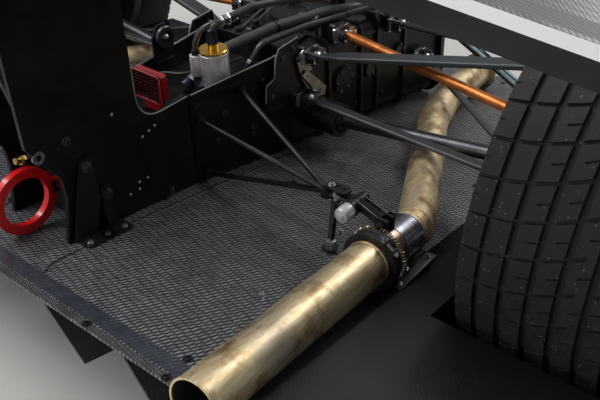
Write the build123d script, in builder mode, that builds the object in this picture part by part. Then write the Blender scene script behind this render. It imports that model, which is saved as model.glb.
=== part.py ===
"""Rear-end module of a closed-wheel sports prototype race car, in millimetres.

Frame: origin at the centre of the bellhousing's engine face, +X to the car's right, +Y forwards,
+Z up. Stations along the car are counted from the rear axle and heights from the ground.
"""
import os
from math import cos, radians, sin, sqrt, tan

from build123d import *

# Where the axle and the ground lie from the engine face
AXLE_Y = -420.0
GROUND_Z = -300.0

# Overall sizes and wheels
OVERALL_WIDTH = 1900.0
TYRE_OD = 710.0
TYRE_WIDTH = 310.0
RIM_SEAT_DIAMETER = 457.0
TYRE_CROWN_DROP = 7.0
TYRE_WALL = 14.0
RIM_WALL = 7.0
RIM_FLANGE = 17.0
SPOKE_COUNT = 10
HUB_RADIUS = 38.0
DISC_RADIUS = 178.0
DISC_THICKNESS = 30.0

# Floor and diffuser
FLOOR_REAR = -718.0
FLOOR_FRONT = 640.0
FLOOR_REAR_HEIGHT = 318.5
FLOOR_RISE_DEG = 8.0
FLOOR_THICKNESS = 5.0
FLOOR_HALF_WIDTH = 520.0
STRAKE_THICKNESS = 6.0
STRAKE_CLEARANCE = 90.0
SIDE_RAISE = 20.0
SIDE_SKIN = 4.0
SIDE_SKIRT_HEIGHT = 100.0
ARCH_CLEARANCE = 28.0
LINER_GAP = 12.0

# Gearbox, crash box and what they carry
CASE_FRONT_HALF = 165.0
CASE_FLANGE = 14.0
CASE_BOLT_RADIUS = 5.5
ENGINE_BOLT_SPACING_X = 300.0
ENGINE_BOLT_SPACING_Z = 200.0
CLUTCH_RADIUS = 110.0
CRASH_WALL = 5.0
CLUTCH_DEPTH = 110.0
RIB_HEIGHT = 6.0
RIB_WIDTH = 8.0
MOUNT_PAD_REACH = 20.0
TROUGH_HEIGHT = 445.0
SHELF_HEIGHT = 400.0
TANK_RADIUS = 27.0
TOW_RING_RADIUS = 58.0
TOW_RING_BAND = 16.0
TOW_RING_THICKNESS = 12.0
LAMP_WIDTH = 80.0
LAMP_HEIGHT = 57.0

# Rear wing
WING_HALF_SPAN = 944.0
WING_HEIGHT = 929.0
WING_TIP_DROP = 39.0
LIP_HEIGHT = 32.0
LIP_THICKNESS = 4.0
WING_LEADING = -400.0
WING_TRAILING = -700.0
PYLON_X = 74.5
PYLON_THICKNESS = 8.0
ENDPLATE_THICKNESS = 6.0

# Exhaust
PIPE_RADIUS = 33.0
TAIL_RADIUS = 37.0
PIPE_WALL = 1.6
CLAMP_RADIUS = 47.0

# Suspension
BLADE_CHORD = 34.0
BLADE_THICKNESS = 11.0
LINK_CHORD = 17.0
LINK_THICKNESS = 10.0
REAR_LINK_CHORD = 22.0
WRAPPED_RADIUS = 9.5
PUSHROD_RADIUS = 9.0
SHAFT_RADIUS = 14.0
ROD_END = 10.0
JOINT_BALL = 24.0

# Clearances
SEAT = 0.3
RUNNING = 0.3
MOVING = 5.0

AXLE_HEIGHT = TYRE_OD / 2
WHEEL_X = (OVERALL_WIDTH - TYRE_WIDTH) / 2
INNER_FACE_X = WHEEL_X - TYRE_WIDTH / 2
SIDES = (("left", -1), ("right", 1))

os.makedirs("parts", exist_ok=True)


def at(x, station, height):
    """A point from the centre line, the rear axle and the ground."""
    return Vector(x, AXLE_Y + station, GROUND_Z + height)


def floor_top(station):
    """Height of the floor's upper face at a station."""
    return FLOOR_REAR_HEIGHT - tan(radians(FLOOR_RISE_DEG)) * (station - FLOOR_REAR)


def wheel_plane(side, offset=0.0):
    """Plane through the axle line whose first axis points outboard and whose second is up."""
    centre = at(side * (WHEEL_X + offset), 0, AXLE_HEIGHT)
    return Plane(origin=centre, x_dir=(side, 0, 0), z_dir=(0, -side, 0))


def axle_axis(side):
    """The wheel's own axis, pointing outboard."""
    return Axis(at(side * WHEEL_X, 0, AXLE_HEIGHT), (side, 0, 0))


def side_plane(x):
    """Plane across the car's width at x, with stations and heights as its axes."""
    return Plane(origin=(x, AXLE_Y, GROUND_Z), x_dir=(0, 1, 0), z_dir=(1, 0, 0))


def mirrored(point, side):
    """The same point on the car's left for side -1."""
    return Vector(side * point.X, point.Y, point.Z)


def bar(start, end, radius):
    """Add a round bar from start to end."""
    with BuildSketch(Plane(origin=start, z_dir=end - start)) as section:
        Circle(radius)
    extrude(section.sketch, amount=(end - start).length)


def ball_ended_bar(start, end, radius, ball):
    """Add a round bar with a ball centred on each end, turned as one outline."""
    along = end - start
    meet = sqrt(ball**2 - radius**2)
    turned = Plane(origin=start, x_dir=along, z_dir=along.cross(Vector(0, 0, 1)))
    with BuildSketch(turned) as outline:
        with BuildLine():
            ThreePointArc((-ball, 0), (0, ball), (meet, radius))
            Line((meet, radius), (along.length - meet, radius))
            ThreePointArc((along.length - meet, radius), (along.length, ball), (along.length + ball, 0))
            Line((along.length + ball, 0), (-ball, 0))
        make_face()
    revolve(outline.sketch, axis=Axis(start, along))


def flat_bar(stations, chord_dir):
    """Add a bar of rounded flat section through rows of (point, chord, thickness)."""
    first, last = stations[0][0], stations[-1][0]
    faces = []
    for point, chord, thickness in stations:
        plane = Plane(origin=point, x_dir=chord_dir, z_dir=last - first)
        with BuildSketch(plane) as section:
            SlotOverall(chord, thickness)
        faces.append(section.sketch.face())
    loft(faces, ruled=True)


def drum(centre, direction, radius, length):
    """Add a cylinder centred on a point."""
    axis = Vector(*direction).normalized()
    with BuildSketch(Plane(origin=centre - axis * (length / 2), z_dir=axis)) as section:
        Circle(radius)
    extrude(section.sketch, amount=length)


def save(builder, name):
    """Label a finished piece and write it."""
    builder.part.label = name
    export_step(builder.part, f"parts/{name}.step")


def save_mirrored(builder, name):
    """Write the piece's twin on the car's other side."""
    with BuildPart() as twin:
        mirror(builder.part, about=Plane.YZ)
    save(twin, name)


# Suspension points on the right: name -> (x, station, height)
POINTS = {
    "upper_rear_in": at(126, 2, 412),
    "upper_front_in": at(172, 235, 408),
    "upper_out": at(WHEEL_X - 143, 28, 534),
    "lower_rear_in": at(132, -31, 334),
    "lower_rear_out": at(WHEEL_X - 145, -44, 331),
    "lower_front_in": at(184, 325, 296),
    "lower_front_out": at(WHEEL_X - 145, 45, 238),
    "toe_in": at(144, 80, 434),
    "toe_out": at(WHEEL_X - 145, -44, 449),
    "push_out": at(WHEEL_X - 150, 62, 385),
    "push_in": at(250, 141, 523),
    "shaft_in": at(172, 5, 284),
    "shaft_out": at(WHEEL_X - 131, 0, AXLE_HEIGHT),
}

# Gearbox and bellhousing
# columns: station, half width, bottom above the floor, top height, corner radius
CASE_SECTIONS = (
    (-AXLE_Y - CASE_FLANGE, CASE_FRONT_HALF, 8.0, 470.0, 40.0),
    (250.0, 143.0, 8.0, 436.0, 34.0),
    (110.0, 124.0, 3.0, 424.0, 26.0),
    (-60.0, 106.5, 3.0, 420.0, 22.0),
)


def case_size(station):
    """Half width, lift above the floor and top height of the case at a station."""
    for ahead, behind in zip(CASE_SECTIONS, CASE_SECTIONS[1:]):
        if station >= behind[0]:
            break
    share = (station - behind[0]) / (ahead[0] - behind[0])
    return [low + share * (high - low) for low, high in zip(behind[1:4], ahead[1:4])]


def case_plane(station, low, high):
    """Cross plane of the case, centred between two heights and facing rearwards."""
    return Plane(origin=at(0, station, (low + high) / 2), x_dir=(1, 0, 0), z_dir=(0, -1, 0))


def plan_plane(height):
    """Horizontal plane at a height, with its origin over the axle."""
    return Plane(origin=at(0, 0, height))


ARM_PIVOTS = ("upper_rear_in", "upper_front_in", "lower_rear_in", "lower_front_in", "toe_in")
CASE_CORE = 90.0
SHAFT_CUP_REACH = 40.0
RIB_STATIONS = (52.0, 150.0, 200.0, 288.0)
RIB_CORNER = 24.0
CASE_LIP = 12.0
CASE_LIP_CORNER = 44.0
PAD_HEIGHT = 40.0
PAD_LENGTH = 34.0
COVER_ROOT = 20.0
COVER_CORNER = 14.0
CUP_WALL = 10.0
# columns: station, size across, size along, height of the cover's top
TOP_COVERS = ((6.0, 140.0, 76.0, 428.0), (104.0, 120.0, 78.0, 431.0))
# columns: station, height, radius
SIDE_COVERS = ((92.0, 322.0, 30.0), (176.0, 318.0, 20.0), (268.0, 330.0, 15.0))

with BuildPart() as gearbox_case:
    for station, half, lift, top, corner in CASE_SECTIONS:
        low = floor_top(station) + lift
        with BuildSketch(case_plane(station, low, top)):
            RectangleRounded(2 * half, top - low, corner)
    loft(ruled=True)
    front_low = floor_top(-AXLE_Y) + CASE_SECTIONS[0][2] - 1
    front_top = CASE_SECTIONS[0][3] + CASE_LIP - 2
    with BuildSketch(case_plane(-AXLE_Y, front_low, front_top)):
        RectangleRounded(2 * (CASE_FRONT_HALF + CASE_LIP), front_top - front_low, CASE_LIP_CORNER)
    extrude(amount=CASE_FLANGE)
    for station in RIB_STATIONS:
        half, lift, top = case_size(station)
        low = floor_top(station) + lift
        with BuildSketch(case_plane(station, low, top + RIB_HEIGHT)):
            RectangleRounded(2 * (half + RIB_HEIGHT), top + RIB_HEIGHT - low, RIB_CORNER)
        extrude(amount=RIB_WIDTH)
    for station, across, along, height in TOP_COVERS:
        with BuildSketch(plan_plane(height - COVER_ROOT)):
            with Locations((0, station)):
                RectangleRounded(across, along, COVER_CORNER)
        extrude(amount=COVER_ROOT)
    for _, side in SIDES:
        for name in ARM_PIVOTS:
            pivot = mirrored(POINTS[name], side)
            with BuildSketch(Plane(origin=(side * CASE_CORE, pivot.Y, pivot.Z), z_dir=(side, 0, 0))):
                RectangleRounded(PAD_HEIGHT, PAD_LENGTH, 6)
            extrude(amount=abs(pivot.X) - CASE_CORE - MOUNT_PAD_REACH)
        for station, height, radius in SIDE_COVERS:
            half = case_size(station)[0]
            with BuildSketch(Plane(origin=at(side * CASE_CORE, station, height), z_dir=(side, 0, 0))):
                Circle(radius)
            extrude(amount=half + RIB_HEIGHT - CASE_CORE)
        cup = mirrored(POINTS["shaft_in"], side)
        with BuildSketch(Plane(origin=(side * CASE_CORE, cup.Y, cup.Z), z_dir=(side, 0, 0))):
            Circle(JOINT_BALL + CUP_WALL + 2)
        extrude(amount=abs(cup.X) - CASE_CORE - SHAFT_CUP_REACH)
    with BuildSketch(Plane.XZ) as clutch_opening:
        Circle(CLUTCH_RADIUS)
    extrude(clutch_opening.sketch, amount=CLUTCH_DEPTH, mode=Mode.SUBTRACT)
    with BuildSketch(Plane.XZ) as bolt_holes:
        with GridLocations(ENGINE_BOLT_SPACING_X, ENGINE_BOLT_SPACING_Z, 2, 2):
            Circle(CASE_BOLT_RADIUS)
    extrude(bolt_holes.sketch, amount=CASE_FLANGE, mode=Mode.SUBTRACT)
save(gearbox_case, "gearbox_case")

FLANGE_LENGTH = 56.0
FLANGE_BORE_DEPTH = 32.0
with BuildPart() as output_flanges:
    for _, side in SIDES:
        centre = mirrored(POINTS["shaft_in"], side)
        with BuildSketch(Plane(origin=centre - Vector(side * SHAFT_CUP_REACH, 0, 0), z_dir=(side, 0, 0))):
            Circle(JOINT_BALL + CUP_WALL)
        extrude(amount=FLANGE_LENGTH)
        with BuildSketch(Plane(origin=centre - Vector(side * FLANGE_BORE_DEPTH, 0, 0), z_dir=(side, 0, 0))):
            Circle(JOINT_BALL + RUNNING)
        extrude(amount=FLANGE_LENGTH, mode=Mode.SUBTRACT)
save(output_flanges, "output_flanges")

BRACKET_GAP = 26.0
BRACKET_BASE = (46.0, 30.0, 5.0)
BRACKET_LUG = (6.0, 26.0, 22.0)
with BuildPart() as pickup_brackets:
    for _, side in SIDES:
        for name in ARM_PIVOTS:
            pivot = mirrored(POINTS[name], side)
            foot = Vector(side * (abs(pivot.X) - MOUNT_PAD_REACH), pivot.Y, pivot.Z)
            base = Plane(origin=foot, z_dir=(side, 0, 0), x_dir=(0, 1, 0))
            with BuildSketch(base):
                RectangleRounded(BRACKET_BASE[0], BRACKET_BASE[1], 4)
            extrude(amount=BRACKET_BASE[2])
            lug_at = (BRACKET_GAP + BRACKET_LUG[0]) / 2
            with BuildSketch(base.offset(BRACKET_BASE[2])):
                with Locations((-lug_at, 0), (lug_at, 0)):
                    Rectangle(BRACKET_LUG[0], BRACKET_LUG[1])
            extrude(amount=BRACKET_LUG[2])
    add(gearbox_case.part, mode=Mode.SUBTRACT)
save(pickup_brackets, "pickup_brackets")

# Rear crash box: a tapered box whose front part is an open trough, waisted where the pylons stand
WALL_FRONT = (CASE_SECTIONS[-1][0] - SEAT, 106.0)
WALL_STEP = (-300.0, 80.7)
WALL_WAIST = (-307.0, PYLON_X - PYLON_THICKNESS / 2 - SEAT)
CRASH_REAR = -540.0
TROUGH_REAR = -345.0


def wall_half(station):
    """Half width of the crash box at a station ahead of its waist."""
    share = (station - WALL_STEP[0]) / (WALL_FRONT[0] - WALL_STEP[0])
    return WALL_STEP[1] + share * (WALL_FRONT[1] - WALL_STEP[1])


def crash_outline(inset):
    """Plan outline of the crash box, moved in by a wall thickness."""
    rows = (WALL_FRONT, WALL_STEP, WALL_WAIST, (CRASH_REAR, WALL_WAIST[1]))
    right = [(half - inset, station) for station, half in rows]
    right[0] = (right[0][0], WALL_FRONT[0] - inset)
    right[-1] = (right[-1][0], CRASH_REAR + inset)
    return right + [(-x, y) for x, y in reversed(right)]


FLOOR_SEAT = Plane(origin=at(0, FLOOR_REAR, FLOOR_REAR_HEIGHT + SEAT), x_dir=(1, 0, 0),
                   z_dir=(0, sin(radians(FLOOR_RISE_DEG)), cos(radians(FLOOR_RISE_DEG))))

# the box is drawn from below the floor up and then cut along it
BLANK_FOOT = 150.0
with BuildPart() as crash_box:
    with BuildSketch(plan_plane(BLANK_FOOT)):
        Polygon(*crash_outline(0), align=None)
    extrude(amount=TROUGH_HEIGHT - BLANK_FOOT)
    with BuildSketch(plan_plane(SHELF_HEIGHT)):
        Polygon(*crash_outline(CRASH_WALL), align=None)
    extrude(amount=TROUGH_HEIGHT, mode=Mode.SUBTRACT)
    with BuildSketch(plan_plane(SHELF_HEIGHT)):
        with Locations((0, TROUGH_REAR)):
            Rectangle(2 * WALL_FRONT[1], TROUGH_REAR - CRASH_REAR, align=(Align.CENTER, Align.MAX))
    extrude(amount=TROUGH_HEIGHT, mode=Mode.SUBTRACT)
    split(bisect_by=FLOOR_SEAT, keep=Keep.TOP)
save(crash_box, "crash_box")

# Tow ring in the centre plane, on a stub from the crash box
TOW_STUB = 14.0
TOW_STUB_HEIGHT = 22.0
TOW_HEIGHT = 364.0
TOW_CENTRE = at(0, CRASH_REAR - TOW_RING_RADIUS - TOW_STUB, TOW_HEIGHT)
with BuildPart() as tow_ring:
    ring_face = TOW_CENTRE - Vector(TOW_RING_THICKNESS / 2, 0, 0)
    ring_plane = Plane(origin=ring_face, x_dir=(0, 1, 0), z_dir=(1, 0, 0))
    with BuildSketch(ring_plane):
        Circle(TOW_RING_RADIUS)
        Rectangle(TOW_RING_RADIUS + TOW_STUB - SEAT, TOW_STUB_HEIGHT, align=(Align.MIN, Align.CENTER))
        Circle(TOW_RING_RADIUS - TOW_RING_BAND, mode=Mode.SUBTRACT)
    extrude(amount=TOW_RING_THICKNESS)
save(tow_ring, "tow_ring")

# Rain light, facing rearwards in the trough
LAMP_STATION = -331.0
LAMP_MIDDLE = 452.0
LAMP_FACE = at(0, LAMP_STATION, LAMP_MIDDLE)
LAMP_DEPTH = 20.0
LENS_THICKNESS = 5.0
LAMP_FRAME = 6.0
LAMP_STAND = (40.0, 10.0)
LAMP_PLANE = Plane(origin=LAMP_FACE, x_dir=(1, 0, 0), z_dir=(0, -1, 0))
with BuildPart() as rain_light_housing:
    with BuildSketch(LAMP_PLANE.offset(-LAMP_DEPTH)):
        RectangleRounded(LAMP_WIDTH - 8, LAMP_HEIGHT - 8, 5)
    extrude(amount=LAMP_DEPTH - LENS_THICKNESS)
    with BuildSketch(plan_plane(SHELF_HEIGHT + SEAT)):
        with Locations((0, LAMP_STATION + LAMP_DEPTH / 2 + 4)):
            Rectangle(*LAMP_STAND)
    extrude(amount=LAMP_MIDDLE - LAMP_HEIGHT / 2 - SHELF_HEIGHT + LAMP_FRAME)
save(rain_light_housing, "rain_light_housing")

with BuildPart() as rain_light_lens:
    with BuildSketch(LAMP_PLANE.offset(-LENS_THICKNESS + SEAT)):
        RectangleRounded(LAMP_WIDTH, LAMP_HEIGHT, 6)
    extrude(amount=LENS_THICKNESS - SEAT)
    with BuildSketch(LAMP_PLANE):
        RectangleRounded(LAMP_WIDTH - 2 * LAMP_FRAME, LAMP_HEIGHT - 2 * LAMP_FRAME, 4)
    extrude(amount=-2, mode=Mode.SUBTRACT)
save(rain_light_lens, "rain_light_lens")

# Catch tank standing on the trough's shelf, with its cap and hose fitting
TANK = (50.0, -205.0)
TANK_TOP = 485.0
CAP_THICKNESS = 5.0
NECK_RADIUS = 10.0
NECK_HEIGHT = 11.0
with BuildPart() as catch_tank:
    with BuildSketch(plan_plane(SHELF_HEIGHT + SEAT)):
        with Locations(TANK):
            Circle(TANK_RADIUS)
    extrude(amount=TANK_TOP - SHELF_HEIGHT - SEAT)
    fillet(catch_tank.edges().filter_by(GeomType.CIRCLE).group_by(Axis.Z)[0], 3)
save(catch_tank, "catch_tank")

with BuildPart() as tank_cap:
    with BuildSketch(plan_plane(TANK_TOP + SEAT)):
        with Locations(TANK):
            Circle(TANK_RADIUS)
    extrude(amount=CAP_THICKNESS)
    chamfer(tank_cap.edges().group_by(Axis.Z)[-1], 1.5)
    with BuildSketch(plan_plane(TANK_TOP + CAP_THICKNESS)):
        with Locations(TANK):
            Circle(NECK_RADIUS)
    extrude(amount=NECK_HEIGHT)
save(tank_cap, "tank_cap")

HOSE_RADIUS = 11.0
THIN_HOSE_RADIUS = 6.0
# the vent hose lies on the pad of the toe link's bracket
VENT_REST = POINTS["toe_in"].Z - GROUND_Z + PAD_HEIGHT / 2 + THIN_HOSE_RADIUS + SEAT
HOSE_FOOT = TANK_TOP + CAP_THICKNESS + NECK_HEIGHT + SEAT
# columns: x, station, height along each hose, then the bend radius at each inner point
HOSES = (
    ("water_hose", HOSE_RADIUS,
     ((2, -240, 410.4), (8, -150, 450), (48, -30, 466), (86, 80, 468), (128, 190, 456), (150, 300, 470)),
     (60, 90, 90, 90)),
    ("vent_hose", THIN_HOSE_RADIUS,
     ((46, -120, 408), (56, -84, 452), (86, 20, VENT_REST), (118, 110, VENT_REST), (150, 200, 462),
      (176, 290, 478)),
     (24, 60, 60, 60)),
    ("tank_hose", 7.0,
     ((TANK[0], TANK[1], HOSE_FOOT), (TANK[0], TANK[1], TANK_TOP + 46), (70, -120, TANK_TOP + 60),
      (96, -20, TANK_TOP + 50), (120, 70, TANK_TOP + 20)),
     (14, 50, 60)),
)
for name, radius, points, bends in HOSES:
    with BuildPart() as hose:
        with BuildLine() as route:
            FilletPolyline(*[at(*point) for point in points], radius=list(bends))
        path = route.wire()
        with BuildSketch(Plane(origin=path @ 0, z_dir=path % 0)):
            Circle(radius)
        sweep(path=path)
    save(hose, name)

# Woven floor, its trailing lip and the strakes below it
with BuildPart() as floor_panel:
    with BuildSketch(side_plane(-FLOOR_HALF_WIDTH)):
        Polygon((FLOOR_REAR, floor_top(FLOOR_REAR)), (FLOOR_FRONT, floor_top(FLOOR_FRONT)),
                (FLOOR_FRONT, floor_top(FLOOR_FRONT) - FLOOR_THICKNESS),
                (FLOOR_REAR, floor_top(FLOOR_REAR) - FLOOR_THICKNESS), align=None)
    extrude(amount=2 * FLOOR_HALF_WIDTH)
save(floor_panel, "floor_panel")

STRAKE_X = (170.0, 345.0, 516.0)
STRAKE_FRONT = 120.0
with BuildPart() as diffuser_strakes:
    for x in [-x for x in STRAKE_X] + list(STRAKE_X):
        with BuildSketch(side_plane(x - STRAKE_THICKNESS / 2)):
            Polygon((FLOOR_REAR, floor_top(FLOOR_REAR) - FLOOR_THICKNESS),
                    (STRAKE_FRONT, floor_top(STRAKE_FRONT) - FLOOR_THICKNESS),
                    (STRAKE_FRONT, STRAKE_CLEARANCE + 40), (FLOOR_REAR + 260, STRAKE_CLEARANCE),
                    (FLOOR_REAR + 40, STRAKE_CLEARANCE + 60), align=None)
        extrude(amount=STRAKE_THICKNESS)
save(diffuser_strakes, "diffuser_strakes")

# Side panels behind the wheels: skin parallel to the floor, folded down at both edges
PANEL_OUT = OVERALL_WIDTH / 2 - SIDE_SKIN / 2
ARCH_RADIUS = TYRE_OD / 2 + ARCH_CLEARANCE
slope = radians(FLOOR_RISE_DEG)
LINER_X = INNER_FACE_X - LINER_GAP
LINER_FRONT = 300.0
with BuildPart() as side_panel_right:
    panel_end = Plane(origin=at(0, FLOOR_REAR, FLOOR_REAR_HEIGHT), x_dir=(1, 0, 0),
                      z_dir=(0, -cos(slope), sin(slope)))
    with BuildSketch(panel_end) as profile:
        with BuildLine():
            FilletPolyline((FLOOR_HALF_WIDTH + SIDE_SKIN / 2 + SEAT, -FLOOR_THICKNESS),
                           (FLOOR_HALF_WIDTH + SIDE_SKIN / 2 + SEAT + 2, 2),
                           (FLOOR_HALF_WIDTH + 40, SIDE_RAISE - SIDE_SKIN / 2),
                           (PANEL_OUT, SIDE_RAISE - SIDE_SKIN / 2),
                           (PANEL_OUT, SIDE_SKIRT_HEIGHT - FLOOR_REAR_HEIGHT), radius=[4, 12, 26])
        trace(line_width=SIDE_SKIN)
    extrude(profile.sketch, amount=-(LINER_FRONT - FLOOR_REAR) / cos(slope))
    with BuildSketch(side_plane(LINER_X)) as opening:
        with Locations((0, AXLE_HEIGHT)):
            Circle(ARCH_RADIUS)
        with Locations((-AXLE_HEIGHT / 2, 0)):
            Rectangle(OVERALL_WIDTH, AXLE_HEIGHT, align=(Align.MIN, Align.MIN))
    extrude(opening.sketch, amount=OVERALL_WIDTH, mode=Mode.SUBTRACT)
    with BuildSketch(side_plane(LINER_X - SIDE_SKIN)) as liner:
        with BuildLine():
            Polyline((-ARCH_RADIUS - 6, SIDE_SKIRT_HEIGHT),
                     (-ARCH_RADIUS - 6, floor_top(-ARCH_RADIUS) + SIDE_RAISE - 2),
                     (LINER_FRONT - 6, floor_top(LINER_FRONT) + SIDE_RAISE - 2),
                     (LINER_FRONT - 6, SIDE_SKIRT_HEIGHT), close=True)
        make_face()
    extrude(liner.sketch, amount=SIDE_SKIN)
    with BuildSketch(side_plane(LINER_X - SIDE_SKIN)) as arch:
        with Locations((0, AXLE_HEIGHT)):
            Circle(ARCH_RADIUS + SIDE_SKIN)
            Circle(ARCH_RADIUS, mode=Mode.SUBTRACT)
        with Locations((-ARCH_RADIUS * 0.6, SIDE_SKIRT_HEIGHT)):
            Rectangle(ARCH_RADIUS, floor_top(-ARCH_RADIUS) + SIDE_RAISE - SIDE_SKIRT_HEIGHT - SIDE_SKIN / 2,
                      align=(Align.MAX, Align.MIN), mode=Mode.INTERSECT)
    extrude(arch.sketch, amount=PANEL_OUT - LINER_X + SIDE_SKIN)
    split(bisect_by=plan_plane(SIDE_SKIRT_HEIGHT), keep=Keep.TOP)
save(side_panel_right, "side_panel_right")
save_mirrored(side_panel_right, "side_panel_left")

# Wheels: every profile is drawn on the wheel plane, outboard distance against radius
WHEEL = wheel_plane(1)
WHEEL_AXIS = axle_axis(1)
RIM_RADIUS = RIM_SEAT_DIAMETER / 2
BEAD_X = TYRE_WIDTH / 2 - 24
LIP_RADIUS = RIM_RADIUS + RIM_FLANGE
tread, crown = TYRE_WIDTH / 2 - 16, AXLE_HEIGHT - TYRE_CROWN_DROP
bead, wall = RIM_RADIUS + SEAT, TYRE_WIDTH / 2


def revolved(points):
    """Turn a closed outline of (outboard, radius) points about the wheel's axis."""
    with BuildSketch(WHEEL) as outline:
        Polygon(*points, align=None)
    revolve(outline.sketch, axis=WHEEL_AXIS)


with BuildPart() as tyre:
    with BuildSketch(WHEEL) as profile:
        with BuildLine():
            ThreePointArc((-tread, crown), (0, AXLE_HEIGHT), (tread, crown))
            RadiusArc((tread, crown), (wall - 2, crown - 20), 22)
            ThreePointArc((wall - 2, crown - 20), (wall, crown - 50), (BEAD_X, LIP_RADIUS + 3))
            Polyline((BEAD_X, LIP_RADIUS + 3), (BEAD_X, bead), (BEAD_X - 18, bead),
                     (wall - TYRE_WALL - 4, crown - 50), (tread - 12, crown - TYRE_WALL),
                     (-tread + 12, crown - TYRE_WALL), (-wall + TYRE_WALL + 4, crown - 50),
                     (-BEAD_X + 18, bead), (-BEAD_X, bead), (-BEAD_X, LIP_RADIUS + 3))
            ThreePointArc((-BEAD_X, LIP_RADIUS + 3), (-wall, crown - 50), (-wall + 2, crown - 20))
            RadiusArc((-wall + 2, crown - 20), (-tread, crown), 22)
        make_face()
    revolve(profile.sketch, axis=WHEEL_AXIS)
save(tyre, "tyre_right")
save_mirrored(tyre, "tyre_left")

edge = BEAD_X + SEAT
drop = RIM_RADIUS - 18
inside = RIM_RADIUS - RIM_WALL
with BuildPart() as rim:
    revolved(((-edge, RIM_RADIUS), (-edge, LIP_RADIUS), (-edge - 6, LIP_RADIUS), (-edge - 6, inside),
              (30, inside), (44, drop - RIM_WALL), (104, drop - RIM_WALL), (edge + 6, inside),
              (edge + 6, LIP_RADIUS), (edge, LIP_RADIUS), (edge, RIM_RADIUS), (100, RIM_RADIUS),
              (92, drop), (52, drop), (40, RIM_RADIUS)))
    revolved(((24, HUB_RADIUS + SEAT), (40, HUB_RADIUS + SEAT), (40, 62), (66, 80), (98, drop - 2),
              (80, drop - 2), (44, 78), (24, 72)))
    with BuildSketch(Plane(origin=WHEEL_AXIS.position, z_dir=WHEEL_AXIS.direction)) as windows:
        with PolarLocations(0, SPOKE_COUNT):
            Polygon((92, 10), (drop - 14, 42), (drop - 14, -42), (92, -10), align=None)
    extrude(windows.sketch, amount=TYRE_WIDTH / 2, mode=Mode.SUBTRACT)
save(rim, "rim_right")
save_mirrored(rim, "rim_left")

CUP_X = POINTS["shaft_out"].X - WHEEL_X
FLANGE_X = 24.0
CUP_DEPTH = 34.0
with BuildPart() as hub:
    revolved(((CUP_X - 18, 0), (CUP_X - 18, JOINT_BALL + CUP_WALL),
              (CUP_X + CUP_DEPTH, JOINT_BALL + CUP_WALL), (CUP_X + CUP_DEPTH + 6, HUB_RADIUS),
              (4, HUB_RADIUS), (4, 70), (FLANGE_X - SEAT, 70), (FLANGE_X - SEAT, HUB_RADIUS),
              (40 + SEAT, HUB_RADIUS), (40 + SEAT, 52), (66, 44), (66, 0)))
    with BuildSketch(Plane(origin=WHEEL_AXIS.position + Vector(CUP_X + CUP_DEPTH - 2, 0, 0),
                           z_dir=(-1, 0, 0))) as socket:
        Circle(JOINT_BALL + RUNNING)
    extrude(socket.sketch, amount=80, mode=Mode.SUBTRACT)
save(hub, "hub_right")
save_mirrored(hub, "hub_left")

DISC_INNER_X = -34.0
BELL_RADIUS = 112.0
disc_outer_x = DISC_INNER_X + DISC_THICKNESS
disc_middle_x = DISC_INNER_X + DISC_THICKNESS / 2
with BuildPart() as brake_disc:
    revolved(((DISC_INNER_X, BELL_RADIUS), (DISC_INNER_X, DISC_RADIUS), (disc_outer_x, DISC_RADIUS),
              (disc_outer_x, BELL_RADIUS), (4 - SEAT, BELL_RADIUS), (4 - SEAT, HUB_RADIUS + SEAT),
              (-4, HUB_RADIUS + SEAT), (-4, BELL_RADIUS - 8), (disc_middle_x, BELL_RADIUS - 8),
              (disc_middle_x, BELL_RADIUS)))
save(brake_disc, "brake_disc_right")
save_mirrored(brake_disc, "brake_disc_left")

with BuildPart() as half_shaft:
    ball_ended_bar(POINTS["shaft_in"], POINTS["shaft_out"], SHAFT_RADIUS, JOINT_BALL)
save(half_shaft, "half_shaft_right")
save_mirrored(half_shaft, "half_shaft_left")

# Uprights: a bearing housing round the hub with an ear for each link and one for the caliper
CALIPER_INNER = 124.0
CALIPER_MOUNT_X = -57.0
EAR_RADIUS = 9.0
UPRIGHT_BACK = CUP_X + CUP_DEPTH + 9
UPRIGHT_PLATE = 18.0
# the plate's corners in order round the hub
EAR_NAMES = ("upper_out", "push_out", "lower_front_out", "lower_rear_out", "toe_out")
with BuildPart() as uprights:
    revolved(((UPRIGHT_BACK, HUB_RADIUS + RUNNING), (UPRIGHT_BACK, 62), (-42, 62),
              (-42, HUB_RADIUS + RUNNING)))
    plate_x = WHEEL_X + UPRIGHT_BACK
    with BuildSketch(side_plane(plate_x)) as plate:
        Polygon(*[(POINTS[name].Y - AXLE_Y, POINTS[name].Z - GROUND_Z) for name in EAR_NAMES], align=None)
        offset(amount=EAR_RADIUS + 5, kind=Kind.ARC)
        with Locations((0, AXLE_HEIGHT)):
            Circle(HUB_RADIUS + RUNNING, mode=Mode.SUBTRACT)
    extrude(plate.sketch, amount=UPRIGHT_PLATE)
    for name in EAR_NAMES:
        point = POINTS[name]
        bar(Vector(plate_x + 4, point.Y, point.Z), point + Vector(ROD_END + SEAT, 0, 0), EAR_RADIUS)
    mount = WHEEL_AXIS.position + Vector(CALIPER_MOUNT_X, 0, 0)
    bar(mount + Vector(0, HUB_RADIUS + 16, 0), mount + Vector(0, CALIPER_INNER - 1, 0), EAR_RADIUS)
    mirror(about=Plane.YZ)
save(uprights, "uprights")

# Links: a rod end at each end, its eye's bolt along the car inboard and across it outboard


def rod_ends(inner, outer):
    """Add the two rod ends of a link."""
    drum(inner, (0, 1, 0), ROD_END, BRACKET_GAP - 2 * SEAT)
    drum(outer, (0, 1, 0), ROD_END, BRACKET_GAP - 4)


def link(inner, outer, chord=LINK_CHORD):
    """Add a streamlined link that narrows into its inner rod end."""
    neck = inner + (outer - inner) * 0.07
    flat_bar(((inner, LINK_THICKNESS, LINK_THICKNESS - 2), (neck, chord, LINK_THICKNESS),
              (outer, chord, LINK_THICKNESS)), (0, 1, 0))


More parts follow.
